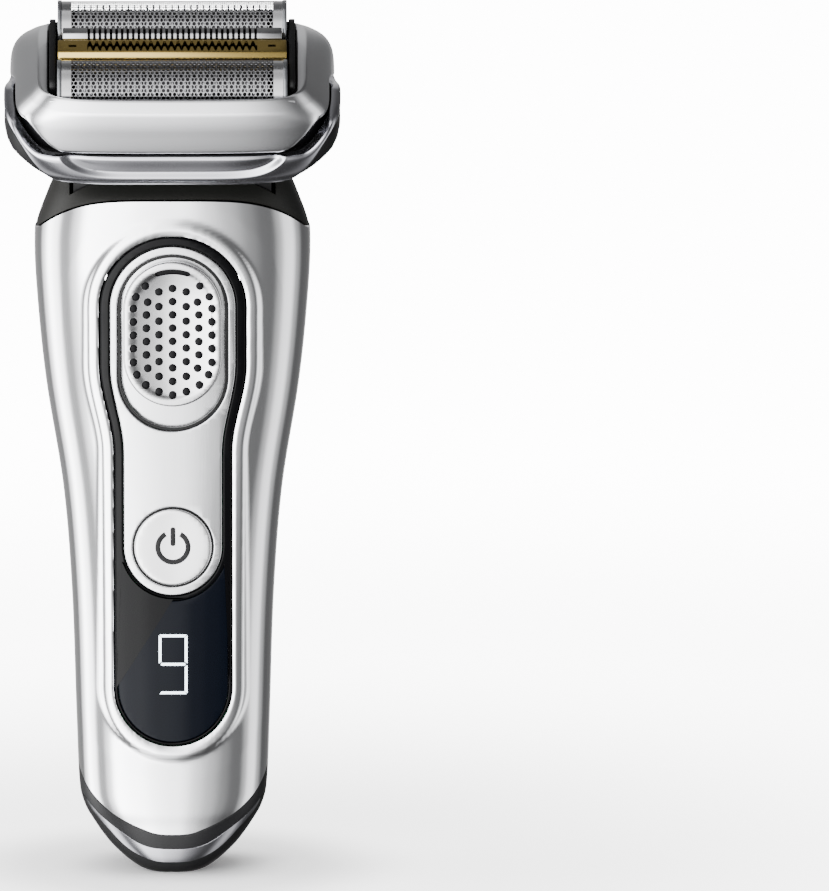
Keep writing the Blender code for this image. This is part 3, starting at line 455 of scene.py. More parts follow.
UP = (1, 1, 0.02)
ACROSS = (0.02, 1, 1)
ALL_WAYS = (1, 1, 1)
LOOKS = {
    "silver_shell": metal("satin_chrome", (0.80, 0.805, 0.825), 0.14, 0.03, 1600, (1, 1, 0.25), 0.02, 0.02),
    "silver_ring": metal("smoked_chrome", (0.52, 0.52, 0.56), 0.17, 0.04, 1600, ACROSS, 0.02, 0.03),
    "silver_frame": metal("frame_chrome", (0.84, 0.845, 0.87), 0.20, 0.04, 1600, ACROSS, 0.03, 0.02),
    "satin_panel": metal("brushed_panel", (0.64, 0.645, 0.66), 0.24, 0.05, 2200, UP, 0.05, 0.03),
    "satin_slider": metal("satin_slider", (0.62, 0.62, 0.635), 0.22, 0.05, 2200, ALL_WAYS, 0.05, 0.03),
    "satin_button": metal("satin_button", (0.76, 0.76, 0.77), 0.27, 0.04, 2000, ALL_WAYS, 0.03, 0.02),
    "charcoal_grip": moulded("grip_rubber", (0.008, 0.008, 0.0085), 0.60, 0.08, 1500, 0.35, 0.2, 0.8, 1800),
    "charcoal_collar": moulded("collar_plastic", (0.0085, 0.0085, 0.0075), 0.48, 0.06, 2500, 0.16, 0.12,
                               0.4, 3200),
    "charcoal_bowl": moulded("bowl_plastic", (0.004, 0.004, 0.0045), 0.46, 0.06, 2500, 0.14, 0.12,
                             0.4, 3200),
    "grey_band": moulded("band_plastic", (0.008, 0.008, 0.009), 0.42, 0.06, 2500, 0.12, 0.1, 0.3, 3000),
    "black_foot": moulded("foot_rubber", (0.0045, 0.0045, 0.005), 0.50, 0.07, 1800, 0.22, 0.15, 0.6, 2400),
    "black_gloss": gloss("black_gloss", (0.002, 0.002, 0.0025), 0.08, 0.2, 0.08),
    "black_glass": gloss("window_glass", (0.002, 0.003, 0.006), 0.05, 0.25, 0.07),
    "black_plastic": moulded("black_plastic", (0.0025, 0.0025, 0.003), 0.42, 0.07, 2500, 0.12, 0.15,
                             0.3, 3000),
    "grey_plastic": moulded("chassis_plastic", (0.09, 0.09, 0.10), 0.5, 0.07, 2000, 0.15, 0.1,
                            0.4, 2500, 0.5),
    "green_board": moulded("board_mask", (0.010, 0.13, 0.055), 0.34, 0.08, 700, 0.2, 0.35, 0.6, 700, 0.5),
    "battery_sleeve": material("battery_sleeve", (0.03, 0.13, 0.27), 0.33, 0, 0.06, 900, UP, 0.1, 0.12),
    "copper_coil": metal("copper_wire", (0.72, 0.30, 0.12), 0.30, 0.06, 3000, ACROSS, 0.5, 0.15),
    "gold_contact": metal("gold_contact", (0.85, 0.62, 0.25), 0.22, 0.05, 1500, ALL_WAYS, 0.04, 0.06),
    "gold_comb": metal("nitride_gold", (0.44, 0.32, 0.10), 0.22, 0.06, 2400, ACROSS, 0.08, 0.06),
    "guard_steel": metal("guard_steel", (0.40, 0.40, 0.41), 0.20, 0.05, 2400, ACROSS, 0.05, 0.04),
    "foil_steel": metal("foil_steel", (0.30, 0.30, 0.31), 0.20, 0.05, 2400, ACROSS, 0.05, 0.04),
    "steel": metal("machined_steel", (0.50, 0.50, 0.51), 0.26, 0.07, 2400, ACROSS, 0.1, 0.06),
}
SYMBOL = material("symbol_ink", (0.003, 0.003, 0.004), 0.35, 0, 0.05, 1500, bump=0.05, vary=0.1, specular=0.2)
DOT_RUBBER = material("dot_rubber", (0.002, 0.002, 0.003), 0.42, 0, 0.08, 1500, bump=0.2, vary=0.2,
                      specular=0.1)
DIGIT_LIGHT = material("digit_light", (0.80, 0.92, 1.0), 0.3, glow=3.5, vary=0.02)
CLEAR_CLIP = material("smoked_clip", (0.16, 0.165, 0.175), 0.14, 0.8, 0.04, 900, vary=0.08)
# Cutter steels painted dark as the shade in the cavity under the foils: the blades darkened, the bar near
# black.
CAVITY_SHADE_BLADE_STEEL = metal("blade_steel_painted_shade", (0.22, 0.22, 0.23), 0.25, 0.06, 2400, ACROSS, 0.1, 0.06)
CAVITY_SHADE_BLOCK_STEEL = metal("block_steel_painted_shade", (0.03, 0.03, 0.032), 0.34, 0.08, 2400, ACROSS, 0.15, 0.08)


# --- mesh helpers
def placed(name, data):
    """A new object in the scene."""
    obj = bpy.data.objects.new(name, data)
    bpy.context.scene.collection.objects.link(obj)
    return obj


def piece(name, mesh, body, slot=None, replaces=(), look=None, matrix=None, sharp=32.0):
    """Adds a mesh as a piece of the object that rides on a body."""
    obj = placed(name, mesh)
    mesh.shade_smooth()
    mesh.set_sharp_from_angle(angle=math.radians(sharp))
    mesh.materials.clear()
    mesh.materials.append(look or LOOKS[slot])
    if matrix is not None:
        obj.matrix_world = matrix
    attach(obj, body)
    if replaces:
        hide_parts(*replaces)
    return obj


def to_mesh(name, shape):
    """Turns a bmesh in millimetres into a mesh in metres."""
    bmesh.ops.scale(shape, vec=(MM, MM, MM), verts=shape.verts)
    mesh = bpy.data.meshes.new(name)
    shape.to_mesh(mesh)
    shape.free()
    return mesh


def band(shape, low, high, closed=True):
    """Faces between two lines of vertices."""
    count = len(low)
    for k in range(count if closed else count - 1):
        after = (k + 1) % count
        shape.faces.new((low[k], low[after], high[after], high[k]))


def grid_mesh(name, rows, wrap_rows=False, wrap_columns=True, cap=False):
    """A mesh through rows of points of equal length. Rows and columns may close on themselves."""
    shape = bmesh.new()
    grid = [[shape.verts.new(point) for point in row] for row in rows]
    pairs = list(zip(grid, grid[1:]))
    if wrap_rows:
        pairs.append((grid[-1], grid[0]))
    for low, high in pairs:
        band(shape, low, high, wrap_columns)
    if cap:
        shape.faces.new(grid[0])
        shape.faces.new(grid[-1])
    bmesh.ops.recalc_face_normals(shape, faces=shape.faces)
    return to_mesh(name, shape)


def prism(name, outline, near, far, along="Y"):
    """A closed outline extruded along X, Y or Z, as a mesh."""
    shape = bmesh.new()
    rings = []
    for depth in (near, far):
        places = {"X": [(depth, a, b) for a, b in outline],
                  "Y": [(a, depth, b) for a, b in outline],
                  "Z": [(a, b, depth) for a, b in outline]}[along]
        rings.append([shape.verts.new(place) for place in places])
    band(shape, *rings)
    shape.faces.new(rings[0])
    shape.faces.new(rings[1])
    bmesh.ops.recalc_face_normals(shape, faces=shape.faces)
    return to_mesh(name, shape)


def boxes(name, corners):
    """Separate boxes in one mesh, each from its low and high corner."""
    shape = bmesh.new()
    for low, high in corners:
        low, high = Vector(low), Vector(high)
        made = bmesh.ops.create_cube(shape, size=1.0)["verts"]
        bmesh.ops.scale(shape, vec=high - low, verts=made)
        bmesh.ops.translate(shape, vec=(low + high) * 0.5, verts=made)
    return to_mesh(name, shape)


def applied(obj):
    """The mesh of an object with its modifiers applied. The object is removed."""
    graph = bpy.context.evaluated_depsgraph_get()
    mesh = bpy.data.meshes.new_from_object(obj.evaluated_get(graph))
    bpy.data.objects.remove(obj)
    return mesh


def carve(mesh, steps):
    """Booleans in order: each step is an operation and a mesh."""
    obj = placed("carved", mesh)
    helpers = []
    for k, (operation, other) in enumerate(steps):
        helper = placed("helper_%d" % k, other)
        helpers.append(helper)
        step = obj.modifiers.new("step_%d" % k, "BOOLEAN")
        step.operation = operation
        step.solver = "EXACT"
        step.object = helper
    made = applied(obj)
    for helper in helpers:
        bpy.data.objects.remove(helper)
    return made


def cut_away(mesh, *others):
    return carve(mesh, [("DIFFERENCE", other) for other in others])


def with_modifier(mesh, kind, **settings):
    obj = placed("modified", mesh)
    step = obj.modifiers.new("step", kind)
    for key, value in settings.items():
        setattr(step, key, value)
    return applied(obj)


def softened(mesh, width, segments, **limits):
    """Rounds a mesh's sharp edges."""
    return with_modifier(mesh, "BEVEL", width=width * MM, segments=segments, **limits)


@contextlib.contextmanager
def editing(mesh):
    """A bmesh of a mesh, written back afterwards."""
    shape = bmesh.new()
    shape.from_mesh(mesh)
    yield shape
    shape.to_mesh(mesh)
    shape.free()


def face_out(mesh):
    """Turns an open skin's faces away from the handle's axis."""
    with editing(mesh) as shape:
        middles = [(face.normal, face.calc_center_median()) for face in shape.faces]
        if sum(normal.x * middle.x + normal.y * middle.y for normal, middle in middles) < 0:
            bmesh.ops.reverse_faces(shape, faces=shape.faces)
    return mesh


def skin(name, rows, thickness):
    """An open skin through rows of points, with a wall behind it."""
    mesh = face_out(grid_mesh(name, rows, wrap_columns=False))
    return with_modifier(mesh, "SOLIDIFY", thickness=thickness * MM, offset=-1.0)


def curve_plate(name, outlines, thickness, edge):
    """A flat plate in x and z with rounded edges, holes after the outline, as a bmesh in millimetres."""
    curve = bpy.data.curves.new(name, "CURVE")
    curve.dimensions = "2D"
    curve.fill_mode = "BOTH"
    curve.extrude = thickness / 2 - edge
    curve.bevel_depth = edge
    curve.bevel_resolution = 3
    curve.offset = -edge
    for outline in outlines:
        spline = curve.splines.new("POLY")
        spline.points.add(len(outline) - 1)
        spline.use_cyclic_u = True
        for point, (across, up) in zip(spline.points, outline):
            point.co = (across, up, 0.0, 1.0)
    shape = bmesh.new()
    shape.from_mesh(applied(placed(name + "_curve", curve)))
    bmesh.ops.remove_doubles(shape, verts=shape.verts, dist=1e-4)
    for vert in shape.verts:
        vert.co = (vert.co.x, -vert.co.z, vert.co.y)
    return shape


def slice_grid(shape, pitch_x, pitch_z):
    """Cuts every face along a grid of planes, so that flat faces can bend."""
    low = Vector(min(v.co[i] for v in shape.verts) for i in range(3))
    high = Vector(max(v.co[i] for v in shape.verts) for i in range(3))
    for axis, pitch in ((0, pitch_x), (2, pitch_z)):
        count = int((high[axis] - low[axis]) / pitch)
        for k in range(1, count + 1):
            place, normal = Vector(), Vector()
            place[axis] = low[axis] + (high[axis] - low[axis]) * k / (count + 1)
            normal[axis] = 1.0
            everything = [*shape.verts, *shape.edges, *shape.faces]
            bmesh.ops.bisect_plane(shape, geom=everything, plane_co=place, plane_no=normal, dist=1e-5)
    bmesh.ops.triangulate(shape, faces=[f for f in shape.faces if len(f.verts) > 4])


def front_plate(name, outlines, outset, thickness, edge, pitch=(1.6, 2.6), dish=None):
    """A plate with rounded edges that follows the front of the handle, outset from it.

    dish gives how far a point's face sinks, from arrays of its x and z.
    """
    shape = curve_plate(name, outlines, thickness, edge)
    slice_grid(shape, *pitch)
    shape.verts.ensure_lookup_table()
    if dish is not None:
        spots = np.array([(v.co.x, v.co.z) for v in shape.verts])
        sinks = dish(spots)
    for k, vert in enumerate(shape.verts):
        sink = sinks[k] if dish is not None and vert.co.y < thickness * 0.2 else 0.0
        vert.co.y += front_y(vert.co.x, vert.co.z) - outset + thickness / 2 + sink
    bmesh.ops.recalc_face_normals(shape, faces=shape.faces)
    return to_mesh(name, shape)


def plan_point(half, deep, angle, power, height):
    across, along = rounded(math.cos(angle), power), rounded(math.sin(angle), power)
    return (half * across, deep * along, height)


def plan_angles(count, power):
    """Angles that space points evenly round a rounded rectangle."""
    fine = 3000
    turns = [math.tau * k / fine for k in range(fine + 1)]
    spots = [plan_point(1.6, 1.0, turn, power, 0.0) for turn in turns]
    run = [0.0]
    for a, b in zip(spots, spots[1:]):
        run.append(run[-1] + math.dist(a, b))
    return [float(np.interp(run[-1] * k / count, run, turns)) for k in range(count)]


# --- the handle
def front_shell():
    """The silver front with a soft raised bezel round the inlay."""
    outline = waisted(TRIM_HALF, TRIM_LOW_HALF, TRIM_TOP, TRIM_BOTTOM, GAP)
    columns, rows = 220, 200
    points = []
    for k in range(columns + 1):
        angle = math.pi - FRONT_TURN + (math.pi + 2 * FRONT_TURN) * k / columns
        low = edge_height(HANDLE, angle, seam_edge, 12.0)
        high = edge_height(HANDLE, angle, top_edge, 128.0)
        points += [body_point(HANDLE, angle, z) for z in spaced(low, high, rows)]
    flat = np.array(points)
    away = distance_to(outline, flat[:, (0, 2)])
    flat[:, 1] -= np.where(flat[:, 1] > -4.0, 0.0, np.interp(away, BEZEL_REACH, BEZEL_RISE))
    grid = flat.reshape(columns + 1, rows + 1, 3).transpose(1, 0, 2)
    opening = prism("inlay_opening", outline, -40.0, -4.0)
    mesh = cut_away(skin("front_shell_skin", grid.tolist(), FRONT_WALL), opening)
    piece("front_shell_skin", mesh, "handle", "silver_shell", ["front_shell"])


def rear_shell():
    """The dark back shell: raised grip dots in staggered rows, and the trimmer's bay."""
    columns, rows = 190, 300
    low = 14.0 + GAP
    angles = [REAR_TURN + (math.pi - 2 * REAR_TURN) * k / columns for k in range(columns + 1)]
    tops = [edge_height(HANDLE, angle, top_edge, 128.0) for angle in angles]
    flat = np.array([
        body_point(HANDLE, angle, low + (high - low) * j / rows)
        for j in range(rows + 1) for angle, high in zip(angles, tops)
    ])
    across = flat[:, 0] / GRIP_PITCH
    up = flat[:, 2] / GRIP_ROW
    level = np.round(up)
    shifted = across - 0.5 * (level % 2)
    spread = np.hypot((shifted - np.round(shifted)) * GRIP_PITCH, (up - level) * GRIP_ROW)
    dots = GRIP_RISE * np.clip(1.0 - (spread / GRIP_RADIUS) ** 2, 0.0, 1.0)
    field = distance_to(stadium(11.5, 19.0, 86.0), flat[:, (0, 2)])
    inside = np.clip(-field / 1.2, 0.0, 1.0) * (flat[:, 1] > 4.0)
    rim = 0.35 * np.exp(-((field / 0.55) ** 2)) * (flat[:, 1] > 4.0)
    flat[:, 1] += dots * inside - 0.30 * inside + rim * 0.6
    grid = flat.reshape(rows + 1, columns + 1, 3)
    bay = prism("trimmer_bay", rounded_box(13.0, 92.0, 140.0, 1.6), 5.0, 30.0)
    mesh = cut_away(skin("rear_shell_skin", grid.tolist(), REAR_WALL), bay)
    piece("rear_shell_skin", mesh, "handle", "charcoal_grip", ["rear_shell"])


def body_loft(name, stations, heights, count=144, rounding=0.0):
    """A closed body through the stations. rounding softens its lowest edge."""
    rows = []
    for z in heights:
        inset = rounding * max(1.0 - z / 0.8, 0.0) ** 2
        rows.append([body_point(stations, math.tau * k / count, z, inset) for k in range(count)])
    return grid_mesh(name, rows, cap=True)


def seam_line(stations, low, high, drop, steps=40):
    """Points along a seam between two depths, lowered by a gap."""
    return [(y, between(stations, y)[0] - drop) for y in spaced(low, high, steps)]


def bottom():
    """Dark band, silver trim and black foot, cut from one smooth end."""
    heights = [0.0, 0.15, 0.45, *(0.8 + 22.2 * k / 44 for k in range(45))]
    back = 1.0 - GAP
    band_end = [(-20.0, 4.8), *seam_line(BAND_LOW, -12.0, -3.2, 0.0), (back, 15.0)]
    band_end += [*reversed(seam_line(SEAM, -12.5, back, GAP)), (-20.0, 5.3)]
    trim = [(-20.0, 2.1), *seam_line(TRIM_EDGE, -11.0, -5.8, 0.0)]
    trim += [*reversed(seam_line(BAND_LOW, -12.0, -5.6, 0.12)), (-20.0, 4.7)]
    foot = [(-20.0, -1.0), (-20.0, 2.0), *seam_line(TRIM_EDGE, -11.0, -5.8, 0.12)]
    foot += [*seam_line(BAND_LOW, -5.4, -3.2, 0.2, 8), (20.0, 14.7), (20.0, -1.0)]
    inlet = ("DIFFERENCE", boxes("inlet", [((-3.6, 1.6, -1.0), (3.6, 6.4, 8.6))]))
    for node, outline, slot, rounding, extra in (
        ("bottom_band", band_end, "grey_band", 0.0, []),
        ("bottom_trim", trim, "silver_ring", 0.0, []),
        ("foot_cap", foot, "black_foot", 0.5, [inlet]),
    ):
        mesh = body_loft(node, HANDLE, heights, rounding=rounding)
        cut = prism(node + "_slice", outline, -40.0, 40.0, "X")
        mesh = carve(mesh, [("INTERSECT", cut), *extra])
        piece(node + "_fine", mesh, "handle", slot, [node])


def collar():
    """The charcoal neck above the shells, with its saddle and ears."""
    heights = [122.0 + 18.5 * k / 26 for k in range(27)]
    mesh = body_loft("collar", COLLAR, heights, 160)
    across = [36.0 * (2.0 * k / 60 - 1.0) for k in range(61)]
    edge = [(x, top_edge(x, 0.0) + GAP) for x in across] + [(x, 160.0) for x in reversed(across)]
    rim = [(-40.0, 135.2), (PIVOT_Y - 8.6, 135.2), (PIVOT_Y + 4.0, 141.0), (40.0, 141.0)]
    rim += [(40.0, 170.0), (-40.0, 170.0)]
    saddle = [(PIVOT_Y + a, PIVOT_Z + b) for a, b in circle((0.0, 0.0), 9.8, 96)]
    ear = [(PIVOT_Y + a, PIVOT_Z + b) for a, b in arc((0.0, 0.0), 4.0, 0.0, 180.0, 24)]
    ear += [(-40.0, 128.0), (-40.0, 180.0), (40.0, 180.0), (40.0, 128.0)]
    steps = [
        ("INTERSECT", prism("edge", edge, -30.0, 30.0)),
        ("DIFFERENCE", prism("rim", rim, -19.7, 19.7, "X")),
        ("DIFFERENCE", prism("saddle", saddle, -19.7, 19.7, "X")),
        ("DIFFERENCE", boxes("hollow", [((-14.0, -12.4, 110.0), (14.0, 7.0, 130.0))])),
        ("DIFFERENCE", boxes("room", [((-13.6, 9.0, 110.0), (13.6, 30.0, 145.0))])),
    ]
    for x in (-1.0, 1.0):
        low, high = sorted((x * 19.6, x * 41.3))
        side = boxes("ear_side", [((low, -40.0, 134.2), (high, 40.0, 180.0))])
        ear_cut = carve(side, [("INTERSECT", prism("ear", ear, -45.0, 45.0, "X"))])
        steps.append(("DIFFERENCE", ear_cut))
    piece("neck_collar_fine", carve(mesh, steps), "handle", "charcoal_collar", ["neck_collar"])


# --- the inlay
def inlay():
    """Gloss trim, silver panel, track and window on the front, with black rings that paint the shade in the
    gaps round the recess and the button.
    """
    outer = waisted(TRIM_HALF, TRIM_LOW_HALF, TRIM_TOP, TRIM_BOTTOM)
    inner = waisted(PANEL_HALF, PANEL_LOW_HALF, PANEL_TOP, BUTTON_Z - PANEL_LOW_HALF, 0.15)
    window_hole = pane(TRIM_LOW_HALF - 0.55, PANEL_LOW_HALF + 1.05)
    panel = waisted(PANEL_HALF, PANEL_LOW_HALF, PANEL_TOP, BUTTON_Z - PANEL_LOW_HALF)
    recess = stadium(RECESS_HALF, RECESS_BOTTOM, RECESS_TOP)
    hole = circle((0.0, BUTTON_Z), BUTTON_RADIUS + 0.36, 72)
    window = pane(TRIM_LOW_HALF - 0.65, PANEL_LOW_HALF + 1.15)
    # Black rings behind the slider recess's edge and round the button fill those gaps with painted shade.
    seam = [stadium(RECESS_HALF - a, RECESS_BOTTOM + a, RECESS_TOP - a) for a in (0.02, 0.62)]
    ring = [circle((0.0, BUTTON_Z), BUTTON_RADIUS + reach, 72) for reach in (0.35, 0.04)]
    track = stadium(RECESS_HALF - 0.1, RECESS_BOTTOM, RECESS_TOP)
    slot = [(-2.2, 101.0), (2.2, 101.0), (2.2, 112.0), (-2.2, 112.0)]
    for name, finish, node, outlines, outset, thickness, edge in (
        ("panel_trim_gloss", "black_gloss", ["panel_trim"], [outer, inner, window_hole], 0.3, 2.0, 0.3),
        ("display_glass", "black_glass", ["display_window"], [window], 0.22, 1.4, 0.15),
        ("control_panel_satin", "satin_panel", ["control_panel"], [panel, recess, hole], 0.28, 1.8, 0.28),
        ("recess_shade_ring", "black_plastic", [], seam, -0.35, 1.2, 0.08),
        ("button_shade_ring", "black_plastic", [], ring, -0.35, 1.0, 0.03),
    ):
        piece(name, front_plate(name, outlines, outset, thickness, edge), "handle", finish, node)
    mesh = front_plate("slider_track_satin", [track, slot], -1.7, 0.9, 0.05, (2.5, 3.0))
    piece("slider_track_satin", mesh, "handle", "satin_panel", ["slider_track"])


def dish(spots):
    """How far the slider's face sinks inside its raised rim."""
    outline = stadium(PAD_HALF, PAD_BOTTOM, PAD_TOP)
    inside = -distance_to(outline, spots)
    slope = np.clip((inside - 1.15) / 1.1, 0.0, 1.0)
    bowl = np.clip((inside - 2.2) / 7.0, 0.0, 1.0)
    return 0.55 * slope**2 * (3 - 2 * slope) + 0.75 * (1.0 - (1.0 - bowl) ** 2)


def dot_places():
    """Centres of the slider's dots: staggered columns that fan out along the round ends."""
    middle = (PAD_TOP + PAD_BOTTOM) / 2 - 1.5
    found = [(0.0, middle + DOT_ROW * k) for k in range(-4, 5)]
    for side in (-1, 1):
        found += [(side * 2.6, middle + up) for up in (-9.7, -6.8, -3.95, -1.3, 1.3, 3.95, 6.8, 9.7)]
        found += [(side * x, middle + up) for x, up in (
            (4.75, -5.2), (5.0, -2.6), (5.0, 0.0), (5.0, 2.6), (5.0, 5.2),
            (4.75, 7.7), (5.1, -8.4), (6.85, -6.4), (7.0, 8.8), (5.2, 10.9),
        )]
        found += [(side * 7.5, middle + up) for up in (-4.0, -1.3, 1.3, 3.9, 6.5)]
    return found


def pill(top, radius, thick, reach):
    """A slot bent along an arc, with round ends."""
    middle = (0.0, top - radius)
    found = []
    for side in (1, -1):
        turn = math.radians(90.0 - side * reach)
        place = (middle[0] + radius * math.cos(turn), middle[1] + radius * math.sin(turn))
        start = -90.0 - reach if side > 0 else 90.0 + reach
        found += arc(place, thick / 2, start, start + 180.0, 8)
        edge = arc(middle, radius + side * thick / 2, 90.0 - side * reach, 90.0 + side * reach, 14)
        found += edge[1:-1]
    return found


def slider():
    """The lock slider: a raised rim, a dish with dark dots and a dark slot, and its arm inside."""
    outline = stadium(PAD_HALF, PAD_BOTTOM, PAD_TOP, 48)
    mesh = front_plate("lock_slider_pad", [outline], PAD_OUTSET, 2.6, 0.4, (0.7, 0.7), dish)
    shape = bmesh.new()
    for x, z in dot_places():
        made = bmesh.ops.create_cone(
            shape, cap_ends=True, segments=20, radius1=DOT_RADIUS, radius2=DOT_RADIUS, depth=6.0
        )["verts"]
        bmesh.ops.rotate(shape, verts=made, matrix=Matrix.Rotation(math.pi / 2, 3, "X"))
        bmesh.ops.translate(shape, verts=made, vec=(x, pad_face(x, z) + 0.4 - 3.0, z))
    holes = to_mesh("dots", shape)
    face = front_y(0.0, SLOT_LEVEL)
    slot = prism("slot", pill(SLOT_TOP, SLOT_RADIUS, 1.05, SLOT_REACH), face - 9.0, face + 1.35)
    mesh = cut_away(mesh, holes, slot)
    piece("lock_slider_pad", mesh, "lock_slider", "satin_slider", ["lock_slider"])

    shape = bmesh.new()
    for x, z in dot_places():
        add_dome(shape, (x, pad_face(x, z) + 0.02, z), DOT_RADIUS * 0.96, 0.17)
    piece("slider_dots", to_mesh("slider_dots", shape), "lock_slider", look=DOT_RUBBER, sharp=60)
    dark = pill(SLOT_TOP, SLOT_RADIUS, 1.0, SLOT_REACH)
    mesh = front_plate("slider_slot", [dark], -0.55, 0.5, 0.05)
    piece("slider_slot", mesh, "lock_slider", look=DOT_RUBBER)
    arm = boxes("slider_arm", [
        ((-1.5, -11.0, 105.2), (1.5, -10.0, 128.8)),
        ((-1.5, -11.0, 128.0), (1.5, -8.8, 128.8)),
    ])
    piece("slider_arm", arm, "lock_slider", "satin_slider")


def pad_face(x, z):
    """The slider's face at a point, dish included."""
    return front_y(x, z) - PAD_OUTSET + float(dish(np.array([(x, z)]))[0])


def add_dome(shape, place, radius, height):
    """A low dome that faces -Y, on a short skirt."""
    turns = [math.tau * i / 20 for i in range(20)]

    def level(r, depth):
        return [
            shape.verts.new((place[0] + r * math.cos(t), place[1] + depth, place[2] + r * math.sin(t)))
            for t in turns
        ]

    levels = [level(radius * math.cos(a), -height * math.sin(a)) for a in (math.pi / 8 * k for k in range(4))]
    levels.insert(0, level(radius, 0.35))
    for low, high in zip(levels, levels[1:]):
        band(shape, low, high)
    top = shape.verts.new((place[0], place[1] - height, place[2]))
    rim = levels[-1]
    for a, b in zip(rim, rim[1:] + rim[:1]):
        shape.faces.new((a, b, top))
    shape.faces.new(list(reversed(levels[0])))


def button():
    """The round power button with its inlaid standby symbol."""
    def cup(spots):
        away = np.hypot(spots[:, 0], spots[:, 1] - BUTTON_Z)
        return 0.28 * np.clip(1.0 - (away / (BUTTON_RADIUS - 0.7)) ** 2, 0.0, 1.0)

    face = circle((0.0, BUTTON_Z), BUTTON_RADIUS, 96)
    fine = (0.9, 0.9)
    mesh = front_plate("power_button_cap", [face], 0.62, 2.3, 0.4, fine, cup)
    piece("power_button_cap", mesh, "power_button", "satin_button", ["power_button"])
    gap, stroke, radius = 29.0, 0.98, 2.9
    middle = (0.0, BUTTON_Z)
    ring = arc(middle, radius + stroke / 2, 90.0 + gap, 450.0 - gap, 40)
    ring += arc(middle, radius - stroke / 2, 450.0 - gap, 90.0 + gap, 40)
    bar = rounded_box(stroke / 2, BUTTON_Z + 0.2, BUTTON_Z + 3.9, stroke / 2.2, 4)
    for name, outline in (("standby_ring", ring), ("standby_bar", bar)):
        mesh = front_plate(name, [outline], 0.66, 0.5, 0.04, fine, cup)
        piece(name, mesh, "power_button", look=SYMBOL)


def digit():
    """A glowing seven-segment digit with one segment dark."""
    low, high = DIGIT_SPAN
    half, thick, slot = 2.75, 0.52, 0.18
    middle = (low + high) / 2
    tip, short = half - slot, half - thick
    bars = [
        [(-tip, high), (tip, high), (short, high - thick), (-short, high - thick)],
        [(-short, low + thick), (short, low + thick), (tip, low), (-tip, low)],
        [(-half + slot * 2, middle), (-short, middle + thick / 2), (short, middle + thick / 2),
         (half - slot * 2, middle), (short, middle - thick / 2), (-short, middle - thick / 2)],
    ]
    for side, bottom_end, top_end in ((1, low, middle), (1, middle, high), (-1, middle, high)):
        bars.append([
            (side * half, bottom_end + slot), (side * half, top_end - slot),
            (side * short, top_end - thick), (side * short, bottom_end + thick),
        ])
    for k, bar in enumerate(bars):
        mesh = front_plate("digit_segment_%d" % k, [bar], 0.25, 0.2, 0.02)
        piece("digit_segment_%d" % k, mesh, "handle", look=DIGIT_LIGHT)


# --- the head
def ring_band(name, low_rule, high_rule, inset, wall, scooped):
    """A closed band round the head between two height rules, inset from the ring's outline."""
    spans = []
    for angle in plan_angles(420, HEAD_POWER):
        x, along = plan_point(*RING_PLAN, angle, HEAD_POWER, 0.0)[:2]
        low, high = low_rule(x, along), high_rule(x, along)
        lip = low + (high - low) * 0.5
        if scooped:
            lip += (min(scoop_lip(x), high - 0.15) - lip) * forward(along + 8.0)
        spans.append((angle, along, low, lip, high))

    def outward(angle, height, along, sink):
        half, deep = between(RING_OUT, height)
        half -= 1.1 * (1.0 - forward(along))
        return plan_point(half - sink, deep - sink, angle, HEAD_POWER, height)

    rows = []
    for share in [k / 12 for k in range(12)] + [1.0 + k / 20 for k in range(21)]:
        row = []
        for angle, along, low, lip, high in spans:
            height = low + (lip - low) * share if share <= 1.0 else lip + (high - lip) * (share - 1.0)
            sink = inset + 0.45 * math.exp(-min(height - low, high - height) / 0.22)
            if scooped and share > 1.0:
                sink += scoop(height - lip, high - lip) * forward(along + 8.0)
            row.append(outward(angle, height, along, sink))
        rows.append(row)
    for share in (1.0, 0.5, 0.0):
        rows.append([outward(a, low + (high - low) * share, along, wall) for a, along, low, _, high in spans])
    return grid_mesh(name, rows, wrap_rows=True)


def head_ring():
    """The silver ring, its dark cheeks below it at the sides, and the dark base above it."""
    mesh = ring_band("head_ring_fine", ring_lip, ring_high, 0.0, 1.75, True)
    piece("head_ring_fine", mesh, "head", "silver_ring", ["head_ring"], matrix=HEAD)
    mesh = ring_band("head_cheeks", ring_low, cheek_high, 0.45, 1.6, False)
    piece("head_cheeks", mesh, "head", "charcoal_bowl", matrix=HEAD)
    corners = []
    for angle in plan_angles(200, HEAD_POWER):
        x, along = plan_point(*FRAME_PLAN, angle, HEAD_POWER, 0.0)[:2]
        corners.append((angle, frame_low(x, along) + 0.9 - BASE_LOW, 1.0 - forward(along - 4.0)))
    rows = [
        [
            plan_point(half + flange * back, deep + flange * back, angle, HEAD_POWER, BASE_LOW + room * share)
            for angle, room, back in corners
        ]
        for share, half, deep, flange in BASE_SKIN
    ]
    mesh = grid_mesh("cassette_base_fine", rows, wrap_rows=True)
    piece("cassette_base_fine", mesh, "cassette", "black_plastic", ["cassette_base"], matrix=HEAD)


def scoop_lip(x):
    """The scoop's lower lip, which climbs to meet the ring's top at both ends."""
    return 9.7 + 4.6 * min(abs(x) / 21.7, 1.2) ** 7


def scoop(above, room):
    """Depth of the ring's scoop at a height above its lip."""
    return 1.0 * eased(above / 1.1) * eased(room / 2.0) * (1.0 - 0.3 * eased((above - 1.8) / 2.5))


def settled(point):
    """Crowns the frame a little, and lowers its rim towards the back, behind the rear foil."""
    x, along, height = point
    along *= 1.0 - 0.04 * (x / 31.0) ** 2
    drop = 4.0 * clamped((along + 6.0) / 23.0) ** 2
    return (x, along, height - drop * clamped((height - 17.0) / 8.8))


